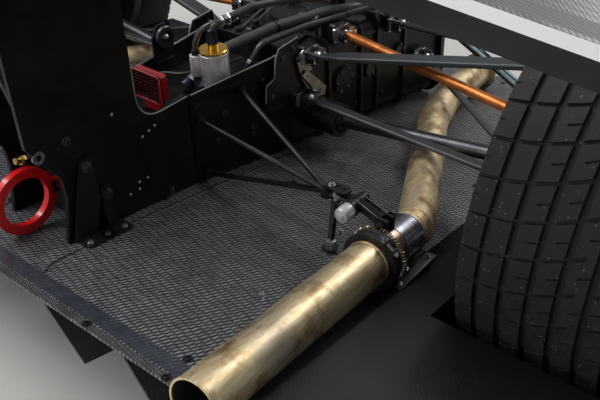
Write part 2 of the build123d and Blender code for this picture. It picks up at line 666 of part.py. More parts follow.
def blade(inner, outer):
    """Add the wide arm: flat above and below, pointed towards its inner end."""
    faces = []
    for share, chord, thickness in BLADE_STATIONS:
        section = Plane(origin=inner + (outer - inner) * share, x_dir=(0, 1, 0), z_dir=outer - inner)
        with BuildSketch(section) as cut:
            RectangleRounded(chord, thickness, BLADE_EDGE)
        faces.append(cut.sketch.face())
    loft(faces, ruled=True)


BLADE_EDGE = 3.5
# columns: share of the arm's length from its inner end, chord, thickness
BLADE_STATIONS = ((0.0, 12.0, 9.0), (0.11, BLADE_CHORD, BLADE_THICKNESS),
                  (0.93, BLADE_CHORD, BLADE_THICKNESS), (1.0, 20.0, 10.0))
with BuildPart() as upper_wishbones:
    inner, front, outer = POINTS["upper_rear_in"], POINTS["upper_front_in"], POINTS["upper_out"]
    blade(inner, outer)
    link(front, outer)
    rod_ends(inner, outer)
    drum(front, (0, 1, 0), ROD_END, BRACKET_GAP - 2 * SEAT)
    mirror(about=Plane.YZ)
save(upper_wishbones, "upper_wishbones")

with BuildPart() as lower_rear_links:
    inner, outer = POINTS["lower_rear_in"], POINTS["lower_rear_out"]
    link(inner, outer, REAR_LINK_CHORD)
    rod_ends(inner, outer)
    mirror(about=Plane.YZ)
save(lower_rear_links, "lower_rear_links")

with BuildPart() as lower_front_links:
    inner, outer = POINTS["lower_front_in"], POINTS["lower_front_out"]
    link(inner, outer)
    rod_ends(inner, outer)
    mirror(about=Plane.YZ)
save(lower_front_links, "lower_front_links")

with BuildPart() as toe_links:
    bar(POINTS["toe_in"], POINTS["toe_out"], WRAPPED_RADIUS)
    rod_ends(POINTS["toe_in"], POINTS["toe_out"])
    mirror(about=Plane.YZ)
save(toe_links, "toe_links")

with BuildPart() as pushrods:
    ball_ended_bar(POINTS["push_in"], POINTS["push_out"], PUSHROD_RADIUS, ROD_END)
    mirror(about=Plane.YZ)
save(pushrods, "pushrods")

# Rockers on the case top, each turning on a post and holding its pushrod's inner end
ROCKER_POST = (60.0, 165.0)
with BuildPart() as rockers:
    push = POINTS["push_in"]
    height = push.Z - GROUND_Z
    with BuildSketch(plan_plane(410)):
        with Locations(ROCKER_POST):
            Circle(14)
    extrude(amount=height - 410 + 20)
    with BuildSketch(plan_plane(height - 6)):
        with BuildLine():
            Polyline((ROCKER_POST[0] - 40, ROCKER_POST[1] - 46), (ROCKER_POST[0] - 60, ROCKER_POST[1] - 20),
                     (ROCKER_POST[0], ROCKER_POST[1] + 26), (push.X - ROD_END - SEAT, push.Y - AXLE_Y + 12),
                     (push.X - ROD_END - SEAT, push.Y - AXLE_Y - 12), close=True)
        make_face()
    extrude(amount=12)
    add(gearbox_case.part, mode=Mode.SUBTRACT)
    mirror(about=Plane.YZ)
save(rockers, "rockers")

# Brake calipers, ahead of the axle, bridging the discs
with BuildPart() as brake_calipers:
    with BuildSketch(Plane(origin=WHEEL_AXIS.position, z_dir=(1, 0, 0), x_dir=(0, 1, 0))) as block:
        with BuildLine():
            CenterArc((0, 0), DISC_RADIUS + 18, -30, 60)
            CenterArc((0, 0), CALIPER_INNER, -30, 60)
            for turn in (-30, 30):
                PolarLine((CALIPER_INNER * cos(radians(turn)), CALIPER_INNER * sin(radians(turn))),
                          DISC_RADIUS + 18 - CALIPER_INNER, turn)
        make_face()
    extrude(block.sketch.moved(Location((DISC_INNER_X - 34, 0, 0))), amount=DISC_THICKNESS + 64)
    slot_start = WHEEL_AXIS.position + Vector(DISC_INNER_X - MOVING, 0, 0)
    with BuildSketch(Plane(origin=slot_start, z_dir=(1, 0, 0))) as slot:
        Circle(DISC_RADIUS + MOVING)
    extrude(slot.sketch, amount=DISC_THICKNESS + 2 * MOVING, mode=Mode.SUBTRACT)
    mirror(about=Plane.YZ)
save(brake_calipers, "brake_calipers")

# Exhaust: columns x, station and height of the pipe's axis above the floor
CLAMP_PLACE = (503.7, -348.0, 49.0)
FRONT_ROUTE = ((212.0, 540.0, 40.0), (240.0, 345.0, 40.0), (290.0, 190.0, 40.0), (498.0, -212.0, 47.0),
               CLAMP_PLACE)
FRONT_BENDS = (300.0, 400.0, 150.0)
TAIL_ROUTE = (CLAMP_PLACE, (525.4, -754.0, 49.0))


def pipe_point(x, station, above):
    """A point on the exhaust's centre line."""
    return at(x, station, floor_top(station) + above)


with BuildPart() as exhaust_pipes:
    with BuildLine() as route:
        FilletPolyline(*[pipe_point(*point) for point in FRONT_ROUTE], radius=list(FRONT_BENDS))
    path = route.wire()
    with BuildSketch(Plane(origin=path @ 0, z_dir=path % 0)):
        Circle(PIPE_RADIUS)
        Circle(PIPE_RADIUS - PIPE_WALL, mode=Mode.SUBTRACT)
    sweep(path=path)
    mirror(about=Plane.YZ)
save(exhaust_pipes, "exhaust_pipes")

clamp_at, tail_end = pipe_point(*TAIL_ROUTE[0]), pipe_point(*TAIL_ROUTE[1])
TAIL = Plane(origin=clamp_at, z_dir=tail_end - clamp_at)
TAIL_LENGTH = (tail_end - clamp_at).length
CLAMP_WIDTH = 22.0
with BuildPart() as tail_pipes:
    with BuildSketch(TAIL.offset(SEAT)):
        Circle(TAIL_RADIUS)
        Circle(TAIL_RADIUS - PIPE_WALL, mode=Mode.SUBTRACT)
    extrude(amount=TAIL_LENGTH - SEAT)
    with BuildSketch(TAIL.offset(TAIL_LENGTH - 5)):
        Circle(TAIL_RADIUS + 1.5)
        Circle(TAIL_RADIUS - PIPE_WALL, mode=Mode.SUBTRACT)
    extrude(amount=5)
    mirror(about=Plane.YZ)
save(tail_pipes, "tail_pipes")

with BuildPart() as band_clamps:
    with BuildSketch(TAIL.offset(-CLAMP_WIDTH / 2)):
        Circle(CLAMP_RADIUS)
        Circle(PIPE_RADIUS + SEAT, mode=Mode.SUBTRACT)
    extrude(amount=CLAMP_WIDTH)
    with BuildSketch(TAIL) as tail_socket:
        Circle(TAIL_RADIUS + SEAT)
    extrude(tail_socket.sketch, amount=CLAMP_WIDTH, mode=Mode.SUBTRACT)
    mirror(about=Plane.YZ)
save(band_clamps, "band_clamps")

# Exhaust hanger: a link from the saddle over the pipe to a clevis held by three struts and a post
SADDLE_SHARE = 0.743
SADDLE_WIDTH = 22.0
SADDLE_WALL = 5.0
EAR_HEIGHT = 26.0
SADDLE = pipe_point(*[a + SADDLE_SHARE * (b - a) for a, b in zip(FRONT_ROUTE[-2], FRONT_ROUTE[-1])])
HANGER = at(424, -272, 347)
with BuildPart() as exhaust_hangers:
    saddle = Plane(origin=SADDLE, z_dir=clamp_at - SADDLE)
    with BuildSketch(saddle.offset(-SADDLE_WIDTH / 2)):
        Circle(PIPE_RADIUS + SADDLE_WALL)
        Circle(PIPE_RADIUS + SEAT, mode=Mode.SUBTRACT)
    extrude(amount=SADDLE_WIDTH)
    ear_foot = SADDLE + Vector(-4, 5, PIPE_RADIUS + 3)
    ear_top = ear_foot + Vector(0, 0, EAR_HEIGHT - 7)
    with BuildSketch(Plane(origin=ear_foot, z_dir=(0, 0, 1))):
        with Locations((0, 8), (0, -8)):
            Rectangle(24, 5)
    extrude(amount=EAR_HEIGHT)
    flat_bar(((HANGER, 18, 16), (ear_top, 18, 16)), (0, 0, 1))
    drum(HANGER, (0, 1, 0), 11, 34)
    drum(HANGER + Vector(0, -29, 0), (0, 1, 0), 13, 26)
    mirror(about=Plane.YZ)
save(exhaust_hangers, "exhaust_hangers")

STRUT_RADIUS = 5.0
STRUT_PAD_RADIUS = 9.0
POST_RADIUS = 6.0
POST_PAD_RADIUS = 14.0
KNUCKLE_RADIUS = 13.0
# columns: station and height of each strut's inner end on the crash box wall
STRUT_ENDS = ((-187.0, 409.0), (-290.0, 392.0), (-282.0, 274.0))
KNUCKLE = HANGER + Vector(-57, -8, 2)
POST_TOP = KNUCKLE + Vector(20, -6, -3)
POST_FOOT = at(398, -317, floor_top(-317) + 1)
with BuildPart() as exhaust_struts:
    for station, height in STRUT_ENDS:
        start = at(wall_half(station) + SEAT + 3, station, height)
        bar(start, KNUCKLE, STRUT_RADIUS)
        with BuildSketch(Plane(origin=start - Vector(3, 0, 0), z_dir=(1, 0, 0))):
            Circle(STRUT_PAD_RADIUS)
        extrude(amount=8)
    bar(POST_FOOT, POST_TOP, POST_RADIUS)
    with BuildSketch(Plane(origin=POST_FOOT, z_dir=(0, 0, 1))):
        Circle(POST_PAD_RADIUS)
    extrude(amount=POST_RADIUS)
    drum(KNUCKLE, (0, 0, 1), KNUCKLE_RADIUS, 14)
    flat_bar(((KNUCKLE, 22, 8), (HANGER, 22, 8)), (0, 1, 0))
    for neighbour in (exhaust_hangers, crash_box, floor_panel):
        add(neighbour.part, mode=Mode.SUBTRACT)
    mirror(about=Plane.YZ)
save(exhaust_struts, "exhaust_struts")

# Rear wing: columns are x and drop of each section; the profile is nose, top line and belly
WING_SECTIONS = ((0.0, 0.0), (560.0, 6.0), (WING_HALF_SPAN - ENDPLATE_THICKNESS - SEAT, WING_TIP_DROP))
MAIN_TRAILING = -616.0
FLAP_LEADING = -606.0


def element(sections, leading, trailing, nose, tail, belly, nose_height, tail_height):
    """Add a wing element lofted through its sections, right half."""
    faces = []
    for x, fall in sections:
        base = WING_HEIGHT - fall
        with BuildSketch(side_plane(x)) as outline:
            with BuildLine():
                ThreePointArc((leading, base + nose_height),
                              (leading + nose / 2, base + nose_height - nose / 2),
                              (leading, base + nose_height - nose))
                ThreePointArc((leading, base + nose_height - nose),
                              ((leading * 1.2 + trailing * 0.8) / 2, base + belly),
                              (trailing, base + tail_height - tail))
                Line((trailing, base + tail_height - tail), (trailing, base + tail_height))
                Line((trailing, base + tail_height), (leading, base + nose_height))
            make_face()
        faces.append(outline.sketch.face())
    loft(faces, ruled=True)


with BuildPart() as wing_main:
    element(WING_SECTIONS, WING_LEADING, MAIN_TRAILING, 16, 3, -44, -10, -22)
    mirror(about=Plane.YZ)
save(wing_main, "wing_main")

FLAP_TAIL = 13.0
with BuildPart() as wing_flap:
    element(WING_SECTIONS, FLAP_LEADING, WING_TRAILING + LIP_THICKNESS, 10, 3, -12, -4, FLAP_TAIL)
    lip_faces = []
    for x, fall in WING_SECTIONS:
        with BuildSketch(side_plane(x)) as lip:
            with Locations((WING_TRAILING, WING_HEIGHT - fall - 3)):
                Rectangle(LIP_THICKNESS + 0.5, LIP_HEIGHT, align=(Align.MIN, Align.MIN))
        lip_faces.append(lip.sketch.face())
    loft(lip_faces, ruled=True)
    mirror(about=Plane.YZ)
save(wing_flap, "wing_flap")

with BuildPart() as wing_endplates:
    with BuildSketch(side_plane(WING_HALF_SPAN - ENDPLATE_THICKNESS)) as plate:
        with BuildLine():
            FilletPolyline((WING_LEADING + 20, WING_HEIGHT - 130), (WING_LEADING + 20, WING_HEIGHT),
                           (WING_TRAILING, WING_HEIGHT + 16), (WING_TRAILING, WING_HEIGHT - 90),
                           (WING_TRAILING + 90, WING_HEIGHT - 130), close=True, radius=24)
        make_face()
    extrude(amount=ENDPLATE_THICKNESS)
    mirror(about=Plane.YZ)
save(wing_endplates, "wing_endplates")

# Pylons stand beside the crash box and reach up to the wing's belly
PYLON_REAR = -633.0
PYLON_FRONT = -418.0
PYLON_FOOT_FRONT = -308.0
PYLON_SWEEP = 46.0
PYLON_TOP_DROP = 24.0
SWEEP_FOOT = (PYLON_FRONT + PYLON_SWEEP, TROUGH_HEIGHT)
SWEEP_TOP = (PYLON_FRONT, TROUGH_HEIGHT + PYLON_SWEEP)
# the cut beside the tow ring: station and height, downwards
PYLON_CUT = ((PYLON_REAR, 500.0), (-585.0, 424.0), (-582.0, 385.0), (-598.0, floor_top(-598.0) + SEAT))
with BuildPart() as wing_pylons:
    with BuildSketch(side_plane(PYLON_X - PYLON_THICKNESS / 2)) as plate:
        with BuildLine():
            Polyline(SWEEP_TOP, (PYLON_FRONT, WING_HEIGHT - PYLON_TOP_DROP),
                     (PYLON_REAR, WING_HEIGHT - PYLON_TOP_DROP), *PYLON_CUT,
                     (PYLON_FOOT_FRONT, floor_top(PYLON_FOOT_FRONT) + SEAT),
                     (PYLON_FOOT_FRONT, TROUGH_HEIGHT), SWEEP_FOOT)
            RadiusArc(SWEEP_FOOT, SWEEP_TOP, PYLON_SWEEP)
        make_face()
    extrude(amount=PYLON_THICKNESS)
    add(wing_main.part, mode=Mode.SUBTRACT)
    add(wing_flap.part, mode=Mode.SUBTRACT)
    mirror(about=Plane.YZ)
save(wing_pylons, "wing_pylons")

BRACE_STATION = PYLON_REAR + 24
BRACE_HEIGHTS = (482.0, 780.0)
BRACE_RADIUS = 5.0
with BuildPart() as pylon_brace:
    half = PYLON_X - PYLON_THICKNESS / 2 - SEAT
    for reach in (-half, half):
        brace_foot = at(-reach, BRACE_STATION, BRACE_HEIGHTS[0])
        bar(brace_foot, at(reach, BRACE_STATION, BRACE_HEIGHTS[1]), BRACE_RADIUS)
    add(wing_pylons.part, mode=Mode.SUBTRACT)
save(pylon_brace, "pylon_brace")
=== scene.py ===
"""Looks of a sports prototype's rear-end module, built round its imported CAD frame.

Lengths are in metres in the row frame: +X to the car's right, +Y forwards, +Z up. Sizes that a
class takes from the car are written as x from the centre line, station from the rear axle and
height from the ground, in millimetres.
"""

import logging
import math
from collections.abc import Iterable, Sequence
from dataclasses import dataclass
from enum import Enum
from typing import ClassVar

import bmesh
import bpy
from mathutils import Matrix, Vector, geometry
from mathutils.bvhtree import BVHTree


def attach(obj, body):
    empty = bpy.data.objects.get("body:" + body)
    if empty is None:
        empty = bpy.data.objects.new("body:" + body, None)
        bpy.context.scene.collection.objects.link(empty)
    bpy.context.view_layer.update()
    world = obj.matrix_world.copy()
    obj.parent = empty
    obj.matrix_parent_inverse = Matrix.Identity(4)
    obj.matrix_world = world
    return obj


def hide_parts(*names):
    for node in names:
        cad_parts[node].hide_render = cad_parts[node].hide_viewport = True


log = logging.getLogger("rear_end")
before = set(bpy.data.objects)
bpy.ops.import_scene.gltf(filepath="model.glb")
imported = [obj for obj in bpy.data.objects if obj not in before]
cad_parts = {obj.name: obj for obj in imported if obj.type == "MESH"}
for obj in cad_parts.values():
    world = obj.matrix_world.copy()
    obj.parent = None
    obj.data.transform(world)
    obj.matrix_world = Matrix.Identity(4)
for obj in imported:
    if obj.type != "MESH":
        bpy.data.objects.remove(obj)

AXLE_Y = -420.0
GROUND_Z = -300.0
AXLE_HEIGHT = 355.0
WHEEL_X = 795.0
FLOOR_REAR = -718.0
FLOOR_REAR_HEIGHT = 318.5
FLOOR_SLOPE = math.radians(8.0)
PYLON_FACE = 78.5
# Where noise has most of its values
NOISE_SPAN = (0.3, 0.7)

Colour = tuple[float, float, float]
# Two measures, such as station and height, or a profile's distance along its axis and radius
Pair = tuple[float, float]
Pairs = tuple[Pair, ...]
# Three measures, such as x, station and height
Place = tuple[float, float, float]
Places = tuple[Place, ...]
Socket = bpy.types.NodeSocket
Verts = list[bmesh.types.BMVert]


def at(x: float, station: float, height: float) -> Vector:
    """A point of the row frame from car measures in millimetres.

    Args:
        x: distance from the centre line, positive to the right.
        station: distance ahead of the rear axle.
        height: height above the ground.

    Returns:
        The point in metres.
    """
    return Vector((x, AXLE_Y + station, GROUND_Z + height)) / 1000


def floor_height(station: float) -> float:
    """Height of the floor's upper face at a station, in millimetres."""
    return FLOOR_REAR_HEIGHT - math.tan(FLOOR_SLOPE) * (station - FLOOR_REAR)


def on_floor(x: float, station: float, lift: float = 0.0) -> Vector:
    """A point a lift above the floor's upper face, from car measures in millimetres."""
    return at(x, station, floor_height(station) + lift)


class Body(Enum):
    """Rigid bodies that pieces ride on."""

    CHASSIS = "chassis"
    WHEEL_RIGHT = "wheel_right"
    WHEEL_LEFT = "wheel_left"


class Weave(Enum):
    """How many tows a warp tow passes over and under."""

    PLAIN = 1
    TWILL = 2


# Finishes


class Sheet:
    """Node tree of one material, with short ways to add and join its nodes."""

    def __init__(self, name: str) -> None:
        """Start a material that holds one Principled shader.

        Args:
            name: the material's name.
        """
        self.material = bpy.data.materials.new(name)
        self.material.use_nodes = True
        self.tree = self.material.node_tree
        self.tree.nodes.clear()
        self.shader = self.node("ShaderNodeBsdfPrincipled")
        output = self.node("ShaderNodeOutputMaterial")
        self.tree.links.new(self.shader.outputs["BSDF"], output.inputs["Surface"])
        self.place = self.node("ShaderNodeTexCoord").outputs["Object"]

    def node(self, kind: str, **values: object) -> bpy.types.Node:
        """Add a node.

        Args:
            kind: its type.
            values: its properties.

        Returns:
            The node.
        """
        made = self.tree.nodes.new(kind)
        for key, value in values.items():
            setattr(made, key, value)
        return made

    def feed(self, source: object, socket: Socket) -> None:
        """Join a source to a socket, or set the socket where the source is a plain value.

        Args:
            source: socket or value.
            socket: the socket that takes it.
        """
        if isinstance(source, Socket):
            self.tree.links.new(source, socket)
        else:
            socket.default_value = source

    def put(self, name: str, source: object) -> None:
        """Feed one of the shader's own sockets."""
        self.feed(source, self.shader.inputs[name])

    def spread(self, scale: Sequence[float], turn: Sequence[float] = (0, 0, 0)) -> Socket:
        """Object coordinates scaled and turned by a Mapping node.

        Args:
            scale: scale along each axis.
            turn: rotation about each axis in radians.

        Returns:
            The mapped vector.
        """
        mapping = self.node("ShaderNodeMapping")
        mapping.inputs["Scale"].default_value = scale
        mapping.inputs["Rotation"].default_value = turn
        self.feed(self.place, mapping.inputs["Vector"])
        return mapping.outputs["Vector"]

    def noise(self, scale: float, detail: float = 3.0, roughness: float = 0.5,
              source: Socket | None = None) -> Socket:
        """Noise between 0 and 1.

        Args:
            scale: its scale.
            detail: number of finer layers.
            roughness: weight of the finer layers.
            source: coordinates, if not the object's.

        Returns:
            The noise.
        """
        made = self.node("ShaderNodeTexNoise")
        made.inputs["Scale"].default_value = scale
        made.inputs["Detail"].default_value = detail
        made.inputs["Roughness"].default_value = roughness
        self.feed(source or self.place, made.inputs["Vector"])
        return made.outputs["Fac"]

    def cells(self, scale: float) -> Socket:
        """Distance to the nearest Voronoi point.

        Args:
            scale: how many points stand in a metre.

        Returns:
            The distance.
        """
        made = self.node("ShaderNodeTexVoronoi")
        made.inputs["Scale"].default_value = scale
        self.feed(self.place, made.inputs["Vector"])
        return made.outputs["Distance"]

    def sum(self, operation: str, *values: object) -> Socket:
        """One step of arithmetic.

        Args:
            operation: what the Math node does.
            values: sockets or numbers that it works on.

        Returns:
            The result.
        """
        made = self.node("ShaderNodeMath", operation=operation)
        for value, socket in zip(values, made.inputs):
            self.feed(value, socket)
        return made.outputs["Value"]

    def fade(self, source: object, low: float, high: float, start: float = 0.0,
             end: float = 1.0) -> Socket:
        """Rescale a value, clamped.

        Args:
            source: the value.
            low: the value that becomes start.
            high: the value that becomes end.
            start: result at low.
            end: result at high.

        Returns:
            The result.
        """
        made = self.node("ShaderNodeMapRange", clamp=True)
        self.feed(source, made.inputs["Value"])
        for name, value in (("From Min", low), ("From Max", high), ("To Min", start), ("To Max", end)):
            made.inputs[name].default_value = value
        return made.outputs["Result"]

    def blend(self, share: object, first: object, second: object) -> Socket:
        """Mix two colours.

        Args:
            share: share of the second.
            first: first colour.
            second: second colour.

        Returns:
            The mixed colour.
        """
        made = self.node("ShaderNodeMix", data_type="RGBA")
        self.feed(share, made.inputs["Factor"])
        for source, name in ((first, "A"), (second, "B")):
            socket = next(s for s in made.inputs if s.name == name and s.type == "RGBA")
            self.feed(source if isinstance(source, Socket) else (*source, 1.0), socket)
        return next(s for s in made.outputs if s.type == "RGBA")

    def bump(self, height: Socket, distance: float, strength: float = 1.0,
             normal: Socket | None = None) -> Socket:
        """Normal bent by a height.

        Args:
            height: the height from 0 to 1.
            distance: what a height of 1 stands for, in metres.
            strength: share of the effect.
            normal: normal to start from, if not the surface's.

        Returns:
            The bent normal.
        """
        made = self.node("ShaderNodeBump")
        made.inputs["Strength"].default_value = strength
        made.inputs["Distance"].default_value = distance
        self.feed(height, made.inputs["Height"])
        if normal is not None:
            self.feed(normal, made.inputs["Normal"])
        return made.outputs["Normal"]

    def axes(self, source: Socket | None = None) -> list[Socket]:
        """Split coordinates.

        Args:
            source: coordinates, if not the object's.

        Returns:
            Their x, y and z.
        """
        made = self.node("ShaderNodeSeparateXYZ")
        self.feed(source or self.place, made.inputs["Vector"])
        return list(made.outputs)


@dataclass(frozen=True)
class Finish:
    """A coated or moulded surface with a fine grain.

    Attributes:
        name: the material's name.
        colour: base colour, linear.
        roughness: mean roughness.
        metallic: 1 for bare metal.
        grain: size of the grain in metres.
        relief: depth of the grain in metres.
        wear: how far the colour varies, from 0 to 1.
        coat: weight of a clear coat.
        gloss: level of the plain surface's reflection.
    """

    name: str
    colour: Colour
    roughness: float = 0.45
    metallic: float = 0.0
    grain: float = 0.0012
    relief: float = 0.00004
    wear: float = 0.25
    coat: float = 0.0
    gloss: float = 0.5

    def material(self) -> bpy.types.Material:
        """Make the material, or give back the one made before.

        Returns:
            The material.
        """
        if self not in MADE:
            sheet = Sheet(self.name)
            self.paint(sheet)
            MADE[self] = sheet.material
        return MADE[self]

    def paint(self, sheet: Sheet) -> None:
        """Add the nodes.

        Args:
            sheet: the node tree to add to.
        """
        broad = sheet.noise(14.0, 4.0, 0.6)
        fine = sheet.noise(1 / self.grain, 2.0, 0.6)
        light = tuple(min(1.0, value * (1 + self.wear) + 0.02 * self.wear) for value in self.colour)
        dark = tuple(value * (1 - self.wear) for value in self.colour)
        sheet.put("Base Color", sheet.blend(sheet.fade(broad, *NOISE_SPAN), dark, light))
        sheet.put("Roughness", sheet.fade(fine, *NOISE_SPAN, self.roughness * 0.85, self.roughness * 1.15))
        sheet.put("Metallic", self.metallic)
        sheet.put("Coat Weight", self.coat)
        sheet.put("Specular IOR Level", self.gloss)
        sheet.put("Normal", sheet.bump(fine, self.relief))


MADE: dict[Finish, bpy.types.Material] = {}


@dataclass(frozen=True)
class BrushedMetal(Finish):
    """Machined or drawn metal with marks along one axis.

    Attributes:
        along: scale of the marks along each axis; the small value runs along the marks.
        tint: second colour that heat or handling leaves in patches.
    """

    metallic: float = 1.0
    roughness: float = 0.3
    along: Place = (900.0, 900.0, 20.0)
    tint: Colour = (0.5, 0.5, 0.5)

    def paint(self, sheet: Sheet) -> None:
        """Add the nodes.

        Args:
            sheet: the node tree to add to.
        """
        marks = sheet.noise(1.0, 3.0, 0.6, sheet.spread(self.along))
        patches = sheet.noise(22.0, 4.0, 0.62)
        sheet.put("Base Color", sheet.blend(sheet.fade(patches, 0.35, 0.7), self.colour, self.tint))
        sheet.put("Roughness", sheet.fade(marks, *NOISE_SPAN, self.roughness * 0.7, self.roughness * 1.3))
        sheet.put("Metallic", self.metallic)
        sheet.put("Normal", sheet.bump(marks, self.relief))


@dataclass(frozen=True)
class HeatTintedSteel(Finish):
    """Exhaust steel, straw to brown, with drawing marks along the pipe.

    Attributes:
        straw: colour of the hot straw tint.
        brown: colour of the brown patches.
        blue: colour where the pipe ran hottest.
    """

    metallic: float = 1.0
    roughness: float = 0.3
    straw: Colour = (0.66, 0.5, 0.27)
    brown: Colour = (0.36, 0.22, 0.1)
    blue: Colour = (0.3, 0.31, 0.34)

    def paint(self, sheet: Sheet) -> None:
        """Add the nodes.

        Args:
            sheet: the node tree to add to.
        """
        streaks = sheet.noise(1.0, 4.0, 0.65, sheet.spread((160, 5, 160)))
        scratches = sheet.noise(1.0, 2.0, 0.7, sheet.spread((1500, 40, 1500)))
        blotches = sheet.noise(16.0, 4.0, 0.6)
        metal = sheet.blend(sheet.fade(streaks, 0.38, 0.66), self.colour, self.straw)
        metal = sheet.blend(sheet.fade(blotches, 0.5, 0.66), metal, self.brown)
        hot = sheet.fade(sheet.noise(6.0, 2.0), 0.6, 0.8, 0, 0.6)
        sheet.put("Base Color", sheet.blend(hot, metal, self.blue))
        sheet.put("Metallic", self.metallic)
        sheet.put("Roughness", sheet.fade(scratches, *NOISE_SPAN, self.roughness * 0.75,
                                          self.roughness * 1.35))
        sheet.put("Normal", sheet.bump(scratches, 0.00003, 1.0, sheet.bump(blotches, 0.00012)))


@dataclass(frozen=True)
class WovenCloth(Finish):
    """Lacquered carbon cloth whose tows cross along X and Y.

    Attributes:
        tow: width of a tow in metres.
        weave: plain weave or twill.
        warp: colour of the tows that run across the car.
        weft: colour of the tows that run along it; warp and weft are one fibre, and their two greys are
            painted sheen for their different reflections.
        gap: colour between the tows.
        swell: height of a tow's crown in metres.
        painted_shade_span: distances along Y over which the cloth fades to painted shade, the shadow on the
            side panel near the tyre.
    """

    roughness: float = 0.35
    tow: float = 0.003
    weave: Weave = Weave.TWILL
    warp: Colour = (0.03, 0.03, 0.032)
    weft: Colour = (0.012, 0.012, 0.014)
    gap: Colour = (0.003, 0.003, 0.003)
    swell: float = 0.0004
    painted_shade_span: Pair = (2.0, 3.0)

    def pattern(self, sheet: Sheet) -> tuple[Socket, Socket]:
        """Which tow lies on top, and how high it stands.

        Args:
            sheet: the node tree to add to.

        Returns:
            Share of the warp on top, 0 or 1, and the height from 0 to 1.
        """
        float_length = float(self.weave.value)
        repeat = 2 * float_length
        u, v, _ = sheet.axes(sheet.spread((1 / self.tow,) * 3))
        row, column = sheet.sum("FLOOR", v), sheet.sum("FLOOR", u)
        step = sheet.sum("FLOORED_MODULO", sheet.sum("ADD", row, column), repeat)
        warp_on_top = sheet.sum("LESS_THAN", step, float_length)
        heights = []
        for run, across in ((sheet.sum("ADD", u, row), v), (sheet.sum("ADD", v, column), u)):
            where = sheet.sum("MODULO", sheet.sum("FLOORED_MODULO", run, repeat), float_length)
            crest = sheet.sum("SINE", sheet.sum("MULTIPLY", where, math.pi / float_length))
            round_top = sheet.sum("SINE", sheet.sum("MULTIPLY", sheet.sum("FRACT", across), math.pi))
            heights.append(sheet.sum("MULTIPLY", sheet.sum("POWER", crest, 0.4), round_top))
        mixed = sheet.node("ShaderNodeMix", data_type="FLOAT")
        sheet.feed(warp_on_top, mixed.inputs["Factor"])
        sheet.feed(heights[1], mixed.inputs[2])
        sheet.feed(heights[0], mixed.inputs[3])
        return warp_on_top, mixed.outputs[0]

    def paint(self, sheet: Sheet) -> None:
        """Add the nodes.

        Args:
            sheet: the node tree to add to.
        """
        warp_on_top, height = self.pattern(sheet)
        # Painted sheen: the warp and weft tows, one fibre, take two greys that stand for their different
        # reflections.
        tows = sheet.blend(warp_on_top, self.weft, self.warp)
        cloth = sheet.blend(sheet.fade(height, 0.05, 0.55), self.gap, tows)
        dust = sheet.fade(sheet.noise(9.0, 4.0, 0.6), 0.35, 0.75, 0.0, self.wear)
        unshaded = sheet.blend(dust, cloth, self.colour)
        # Painted shade: along Y the cloth fades to the gap colour and loses most of its reflection,
        # standing for the shadow on the side panel near the tyre.
        _, along, _ = sheet.axes()
        painted_shade = sheet.fade(along, *self.painted_shade_span)
        sheet.put("Base Color", sheet.blend(painted_shade, unshaded, self.gap))
        sheet.put("Specular IOR Level", sheet.fade(painted_shade, 0.0, 1.0, self.gloss, 0.1))
        sheet.put("Roughness", sheet.fade(sheet.noise(60.0), *NOISE_SPAN, self.roughness * 0.8,
                                          self.roughness * 1.2))
        sheet.put("Coat Weight", self.coat)
        sheet.put("Coat Roughness", 0.2)
        sheet.put("Normal", sheet.bump(height, self.swell))


@dataclass(frozen=True)
class RibbedCloth(Finish):
    """Lacquered cloth of raised ribs, each a row of slanted grains, with dark gaps; the crests' light
    colour is painted sheen.

    Attributes:
        rib: distance between two ribs in metres.
        grain_length: distance between two grains of a rib in metres.
        lean: turn of the ribs from the car's length in radians.
        shift: share of a grain that each rib is moved along.
        slant: share of a rib that a grain crosses from end to end.
        notch: height of a rib between two grains, as a share of a grain's.
        gap: colour between the grains.
        swell: height of a grain in metres.
    """

    roughness: float = 0.35
    rib: float = 0.007
    grain_length: float = 0.0124
    lean: float = math.radians(5.0)
    shift: float = 0.12
    slant: float = 0.45
    notch: float = 0.55
    gap: Colour = (0.004, 0.004, 0.005)
    swell: float = 0.0009

    def paint(self, sheet: Sheet) -> None:
        """Add the nodes.

        Args:
            sheet: the node tree to add to.
        """
        wobble = sheet.fade(sheet.noise(55.0, 2.0), 0.25, 0.75, -0.22, 0.22)
        across, _, _ = sheet.axes(sheet.spread((1 / self.rib,) * 3, (0, 0, -self.lean)))
        _, along, _ = sheet.axes(sheet.spread((1 / self.grain_length,) * 3))
        along = sheet.sum("ADD", along, sheet.sum("MULTIPLY", sheet.sum("FLOOR", across), self.shift))
        along = sheet.sum("FRACT", sheet.sum("ADD", along, wobble))
        lean = sheet.sum("MULTIPLY", sheet.sum("SUBTRACT", along, 0.5), self.slant)
        leant = sheet.sum("ADD", across, lean)
        ridge = sheet.sum("SINE", sheet.sum("MULTIPLY", sheet.sum("FRACT", leant), math.pi))
        swell = sheet.sum("SINE", sheet.sum("MULTIPLY", along, math.pi))
        grain = sheet.fade(swell, 0.0, 0.8, self.notch, 1.0)
        height = sheet.sum("MULTIPLY", sheet.sum("POWER", ridge, 0.9), grain)
        patches = sheet.fade(sheet.noise(42.0, 3.0, 0.6), 0.34, 0.66, 1.0 - self.wear, 1.0)
        # Painted sheen and shade: the grains' crests take the light colour and their sides and hollows the
        # gap colour, which is partly the cloth's own dark gaps and partly painted shade; patches of wear
        # vary the crests.
        crest_sheen_and_wear = sheet.sum("MULTIPLY", sheet.fade(height, 0.42, 1.0), patches)
        sheet.put("Base Color", sheet.blend(crest_sheen_and_wear, self.gap, self.colour))
        sheet.put("Roughness", sheet.fade(height, 0.2, 0.9, 0.6, self.roughness))
        sheet.put("Specular IOR Level", self.gloss)
        sheet.put("Coat Weight", self.coat)
        sheet.put("Coat Roughness", 0.25)
        sheet.put("Normal", sheet.bump(height, self.swell))


